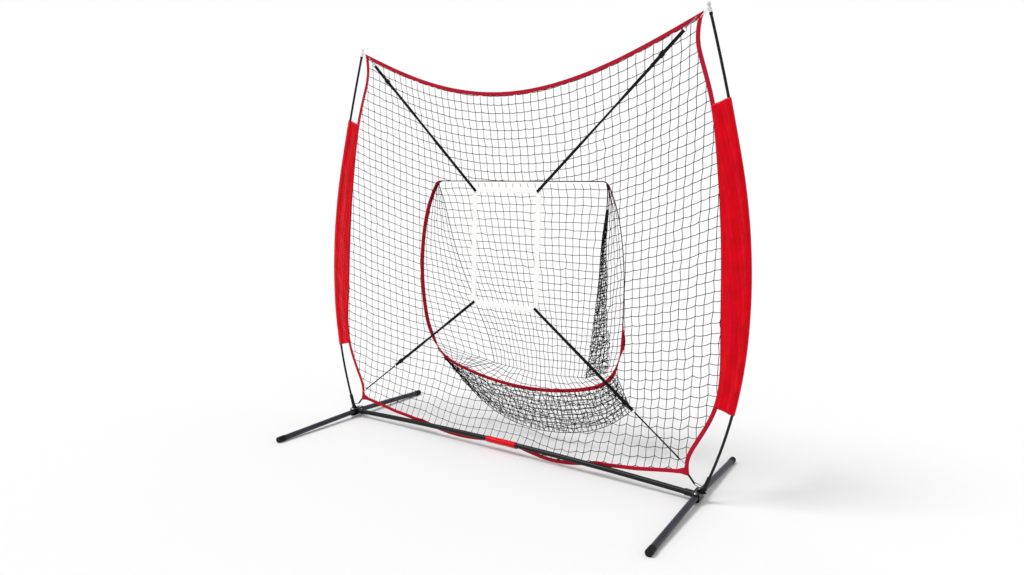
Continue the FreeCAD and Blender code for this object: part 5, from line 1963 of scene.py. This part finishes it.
@dataclass(frozen=True)
class ClothFinish(Finish):
    """Woven cloth or webbing, by UV in metres along and across the piece.

    Attributes:
        colour: Screen colour.
        thread: Width of one thread.
        skew: Twill slant, 0 for plain weave.
        height: Strength of the threads' relief.
        weave_shade: Painted shade on the threads that lie below: how much darker they are drawn.
        stitch: Distance from the middle at which a row of stitching runs, or 0.
        fade: How much the clouds darken the colour.
        folds: Strength of drawn folds in the relief, or 0.
        cloud_range: Clouds that give no and full darkening.
        stitch_run: Half a stitch's width, the distance between stitches, and the share of
            it that the stitch takes.
    """

    colour: tuple[int, int, int]
    thread: float = 0.0008
    skew: float = 0.0
    rough: float = 0.6
    height: float = 0.35
    weave_shade: float = 0.18
    stitch: float = 0.0
    stitch_colour: tuple[int, int, int] = (120, 20, 30)
    fade: float = 0.16
    shine: float = 0.08
    folds: float = 0.0
    glint: Colour = (1.0, 1.0, 1.0, 1.0)
    cloud_scale: float = 14.0
    cloud_range: Pair = (0.35, 0.7)
    stitch_run: Triple = (0.0005, 0.0038, 0.7)
    fold_scale: Triple = (6.0, 34.0, 1.0)
    fold_swirl: float = 1.2
    fold_relief: float = 0.006

    def stitched(self, n: Nodes, place: Socket, colour: Socket) -> Socket:
        """The cloth's colour with a dashed row of stitches on each side of the middle.

        Args:
            n: The material's nodes.
            place: The UV along and across.
            colour: The cloth's colour.

        Returns:
            The colour's socket.
        """
        half, pitch, share = self.stitch_run
        split = n.add("SeparateXYZ", Vector=place)
        off = n.math("SUBTRACT", n.math("ABSOLUTE", split.outputs[1]), self.stitch)
        near = n.math("LESS_THAN", n.math("ABSOLUTE", off), half)
        dash = n.math("LESS_THAN", n.math("FRACT", n.math("DIVIDE", split.outputs[0], pitch)), share)
        return n.mix(n.math("MULTIPLY", near, dash), colour, linear(*self.stitch_colour))

    def folded(self, n: Nodes, place: Socket, normal: Socket) -> Socket:
        """The cloth's normal with drawn folds: noise on the UV, stretched by the folds' scale.

        Args:
            n: The material's nodes.
            place: The UV along and across.
            normal: The threads' normal.

        Returns:
            The normal's socket.
        """
        drawn = n.add("VectorMath", {"operation": "MULTIPLY"})
        n.feed(drawn, 0, place)
        n.feed(drawn, 1, self.fold_scale)
        stretched = drawn.outputs[0]
        look = {"Scale": 1.0, "Detail": GRAIN_DETAIL, "Distortion": self.fold_swirl}
        creases = n.add("TexNoise", Vector=stretched, **look).outputs[0]
        relief = {"Strength": self.folds, "Distance": self.fold_relief}
        return n.add("Bump", **relief, Height=creases, Normal=normal).outputs[0]

    def fill(self, n: Nodes, shader: bpy.types.Node) -> None:
        """Principled with the shared weave on normal, and on colour as painted shade on the lower threads.
        """
        place = n.add("UVMap", {"uv_map": UV_NAME}).outputs[0]
        threads = {"Thread": self.thread, "Skew": self.skew, "Height": self.height}
        weave = n.add("Group", {"node_tree": Shared.weave()}, Place=place, **threads)
        around = n.add("TexCoord").outputs["Object"]
        cloud_look = {"Scale": self.cloud_scale, "Detail": CLOUD_DETAIL}
        clouds = n.add("TexNoise", Vector=around, **cloud_look).outputs[0]
        base = linear(*self.colour)
        # Painted shade: the threads that lie below, where the weave's relief is low, are drawn darker.
        dark = tuple(c * (1 - self.weave_shade) for c in base[:3]) + (1.0,)
        colour = n.mix(weave.outputs["Threads"], dark, base)
        faded = n.mix(n.span(clouds, *self.cloud_range, 0.0, self.fade), colour, (0, 0, 0, 1))
        if self.stitch:
            faded = self.stitched(n, place, faded)
        n.feed(shader, "Base Color", faded)
        normal = weave.outputs["Normal"]
        if self.folds:
            normal = self.folded(n, place, normal)
        n.feed(shader, "Normal", normal)
        shader.inputs["Specular Tint"].default_value = self.glint
        shader.inputs["Roughness"].default_value = self.rough
        shader.inputs["Specular IOR Level"].default_value = self.shine


HARD_FINISHES: dict[str, HardFinish] = {
    "black_coated_tube": HardFinish("black_powder_coat", (17, 17, 21), (0.3, 0.42)),
    "charcoal_coated_tube": HardFinish("charcoal_powder_coat", (40, 42, 54), (0.35, 0.5), shine=0.35),
    "black_rubber": HardFinish("black_rubber_cap", (15, 15, 17), (0.55, 0.75), grain=0.25),
    "zinc_plated_steel": HardFinish("zinc_plate", (168, 170, 174), (0.25, 0.4), metallic=1.0, grain=0.05),
    "spring_steel": HardFinish("spring_steel", (150, 152, 158), (0.2, 0.35), metallic=1.0, grain=0.03),
    "black_fibreglass_rod": HardFinish("black_fibreglass", (15, 15, 19), (0.28, 0.4)),
    "ferrule_steel": HardFinish("black_ferrule", (24, 25, 29), (0.3, 0.42), metallic=0.4),
    "clear_plastic": HardFinish("clear_cap", (214, 218, 222), (0.1, 0.2), shine=0.5),
    "black_moulded_plastic": HardFinish("black_moulding", (19, 19, 22), (0.35, 0.5), grain=0.18),
}
CLOTH_FINISHES: dict[str, ClothFinish] = {
    "black_net_cord": ClothFinish("black_net_twine", (24, 24, 28), 0.0007, rough=0.7),
    "crimson_binding": ClothFinish("crimson_tape", (186, 22, 48), 0.0009, rough=0.7, stitch=0.0072),
    "red_sleeve_cloth": ClothFinish(
        "red_satin",
        (214, 0, 18),
        0.0005,
        skew=0.5,
        rough=0.34,
        height=0.2,
        weave_shade=0.1,
        fade=0.25,
        shine=0.9,
        folds=0.8,
        glint=(1.0, 0.06, 0.1, 1.0),
    ),
    "white_webbing": ClothFinish(
        "white_tape", (250, 249, 247), 0.0012, 1.0, rough=0.65, height=0.4, weave_shade=0.09, fade=0.04
    ),
    "black_webbing": ClothFinish("black_tape", (20, 20, 23), 0.0012, 1.0, height=0.4, weave_shade=0.3),
    "white_elastic": ClothFinish("white_braid", (232, 233, 234), 0.0011, 1.0, rough=0.7),
    "black_elastic": ClothFinish("black_braid", (20, 20, 23), 0.0011, 1.0, rough=0.65),
}


# ------------ stage
@dataclass(frozen=True)
class ViewCamera:
    """The camera of the main view; its angles are in radians."""

    place: Triple = (1.905, -2.919, 1.310)
    yaw: float = math.radians(32.48)
    pitch: float = math.radians(7.2)
    roll: float = math.radians(1.2)
    lens: float = 24.36
    sensor: float = 36.0
    far: float = 200

    def build(self) -> bpy.types.Object:
        """Makes the camera, turned by its yaw, pitch and roll."""
        yaw, pitch, roll = self.yaw, self.pitch, self.roll
        level = math.cos(pitch)
        forward = Vector((-math.sin(yaw) * level, math.cos(yaw) * level, -math.sin(pitch)))
        right = Vector((math.cos(yaw), math.sin(yaw), 0))
        upward = right.cross(forward)
        turned_right = right * math.cos(roll) + upward * math.sin(roll)
        turned_up = upward * math.cos(roll) - right * math.sin(roll)
        matrix = Matrix((turned_right, turned_up, -forward)).transposed().to_4x4()
        matrix.translation = Vector(self.place)
        data = bpy.data.cameras.new("photo_view")
        data.lens = self.lens
        data.sensor_width = self.sensor
        data.clip_end = self.far
        camera = bpy.data.objects.new("photo_view", data)
        camera.matrix_world = matrix
        bpy.context.scene.collection.objects.link(camera)
        bpy.context.scene.camera = camera
        return camera


@dataclass(frozen=True)
class Stage:
    """Pale floor, white surroundings and one broad sun.

    Attributes:
        light: Strength of the surroundings as light, and as the camera sees them.
    """

    floor_size: float = 60.0
    floor_tone: float = 0.82
    floor_rough: float = 0.9
    light: Pair = (0.72, 1.0)
    sun_towards: Triple = (-0.55, -0.62, 1.25)
    sun_strength: float = 1.9
    sun_spread: float = math.radians(22)

    def build(self) -> None:
        """Makes the floor, the surroundings and the sun."""
        self.floor()
        self.world()
        self.sun()

    def floor(self) -> None:
        """Makes the floor, a level square round the origin."""
        half = self.floor_size / 2
        mesh = bpy.data.meshes.new("floor")
        corners = [(-half, -half, 0), (half, -half, 0), (half, half, 0), (-half, half, 0)]
        mesh.from_pydata(corners, [], [(0, 1, 2, 3)])
        floor = bpy.data.objects.new("floor", mesh)
        bpy.context.scene.collection.objects.link(floor)
        material = bpy.data.materials.new("pale_floor")
        material.use_nodes = True
        shader = material.node_tree.nodes["Principled BSDF"]
        shader.inputs["Base Color"].default_value = (self.floor_tone,) * 3 + (1.0,)
        shader.inputs["Roughness"].default_value = self.floor_rough
        shader.inputs["Specular IOR Level"].default_value = 0.0
        mesh.materials.append(material)

    def world(self) -> None:
        """Makes the white surroundings, which the camera sees brighter than they shine."""
        world = bpy.data.worlds.new("white_room")
        bpy.context.scene.world = world
        world.use_nodes = True
        n = Nodes(world.node_tree)
        light_path = n.add("LightPath")
        strength = n.span(light_path.outputs["Is Camera Ray"], 0.0, 1.0, *self.light)
        background = world.node_tree.nodes["Background"]
        n.feed(background, "Color", (1, 1, 1, 1))
        n.feed(background, "Strength", strength)

    def sun(self) -> None:
        """Makes the sun."""
        data = bpy.data.lights.new("sun", "SUN")
        data.energy = self.sun_strength
        data.angle = self.sun_spread
        lamp = bpy.data.objects.new("sun", data)
        lamp.rotation_euler = Vector(self.sun_towards).to_track_quat("Z", "Y").to_euler()
        bpy.context.scene.collection.objects.link(lamp)


# ------------ the whole

# Nodes that several new pieces stand for, in the order in which a side's pieces are made.
SHARED_NODES: dict[str, Slot] = {
    "upper_straps": Slot.BLACK_WEBBING,
    "lower_straps": Slot.BLACK_WEBBING,
    "elastic_cords": Slot.BLACK_ELASTIC,
    "top_corner_loops": Slot.WHITE_ELASTIC,
    "hold_down_loops": Slot.BLACK_ELASTIC,
}


@dataclass
class Dresser:
    """Gives the new pieces their body, and every shown piece the material of its slot."""

    materials: dict[str, bpy.types.Material] = field(default_factory=dict)

    def finish_for(self, slot: str) -> bpy.types.Material:
        """The material of a record slot, made once."""
        if slot not in self.materials:
            finish = HARD_FINISHES.get(slot) or CLOTH_FINISHES[slot]
            self.materials[slot] = finish.material()
        return self.materials[slot]

    def dress(self, piece: Piece, slot: str, body: str = NET_BODY) -> None:
        """Rides a new piece on its body and gives it a slot's finish.

        Args:
            piece: The piece.
            slot: The record's slot.
            body: The body that carries it.
        """
        piece.data.materials.clear()
        piece.data.materials.append(self.finish_for(slot))
        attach(piece, body)
        LOG.info("%s: %s on %s", piece.name, slot, body)

    def dress_frame(self, record: dict, nodes: dict) -> None:
        """Gives the CAD nodes that stay shown the finish of their slot.

        Args:
            record: The frame's record.
            nodes: The frame's objects by node.
        """
        for entry in record["subparts"]:
            node = nodes[entry["node"]]
            if node.hide_render:
                continue
            node.data.materials.clear()
            node.data.materials.append(self.finish_for(entry["material_slot"]))


def main() -> None:
    """Builds all the new pieces, dresses the frame and sets the stage."""
    logging.basicConfig(level=logging.INFO, format="%(message)s")
    dresser = Dresser()
    outline, pocket = NetOutline(), PocketShape()
    for piece in KnottedNet(outline, pocket).build() + PocketBag(pocket).build():
        dresser.dress(piece, Slot.CORD.value)
    bindings = Bindings(outline, pocket)
    for piece in bindings.build():
        dresser.dress(piece, Slot.BINDING.value)
    dresser.dress(bindings.edge_cord(), Slot.CORD.value)
    dresser.dress(CentreWrap().build(), Slot.CLOTH.value)
    zone = StrikeZone()
    dresser.dress(zone.build(), Slot.WHITE_WEBBING.value)
    shared: dict[str, list[Piece]] = {node: [] for node in SHARED_NODES}
    for side in Side:
        dresser.dress(SideSleeve(outline, side).build(), Slot.CLOTH.value)
        upper, lower = Strap(zone, outline, True, side), Strap(zone, outline, False, side)
        made = [upper.build(), lower.build(), lower.elastic(), *CornerCords(outline, side).build()]
        for piece, (node, slot) in zip(made, SHARED_NODES.items()):
            dresser.dress(piece, slot.value)
            shared[node].append(piece)
    for node, pieces in shared.items():
        for piece in pieces:
            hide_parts(node)
    dresser.dress_frame(frame["record"], frame["nodes"])
    Stage().build()
    ViewCamera().build()
    bpy.context.scene.view_settings.view_transform = "Standard"


if __name__ == "__main__":
    main()
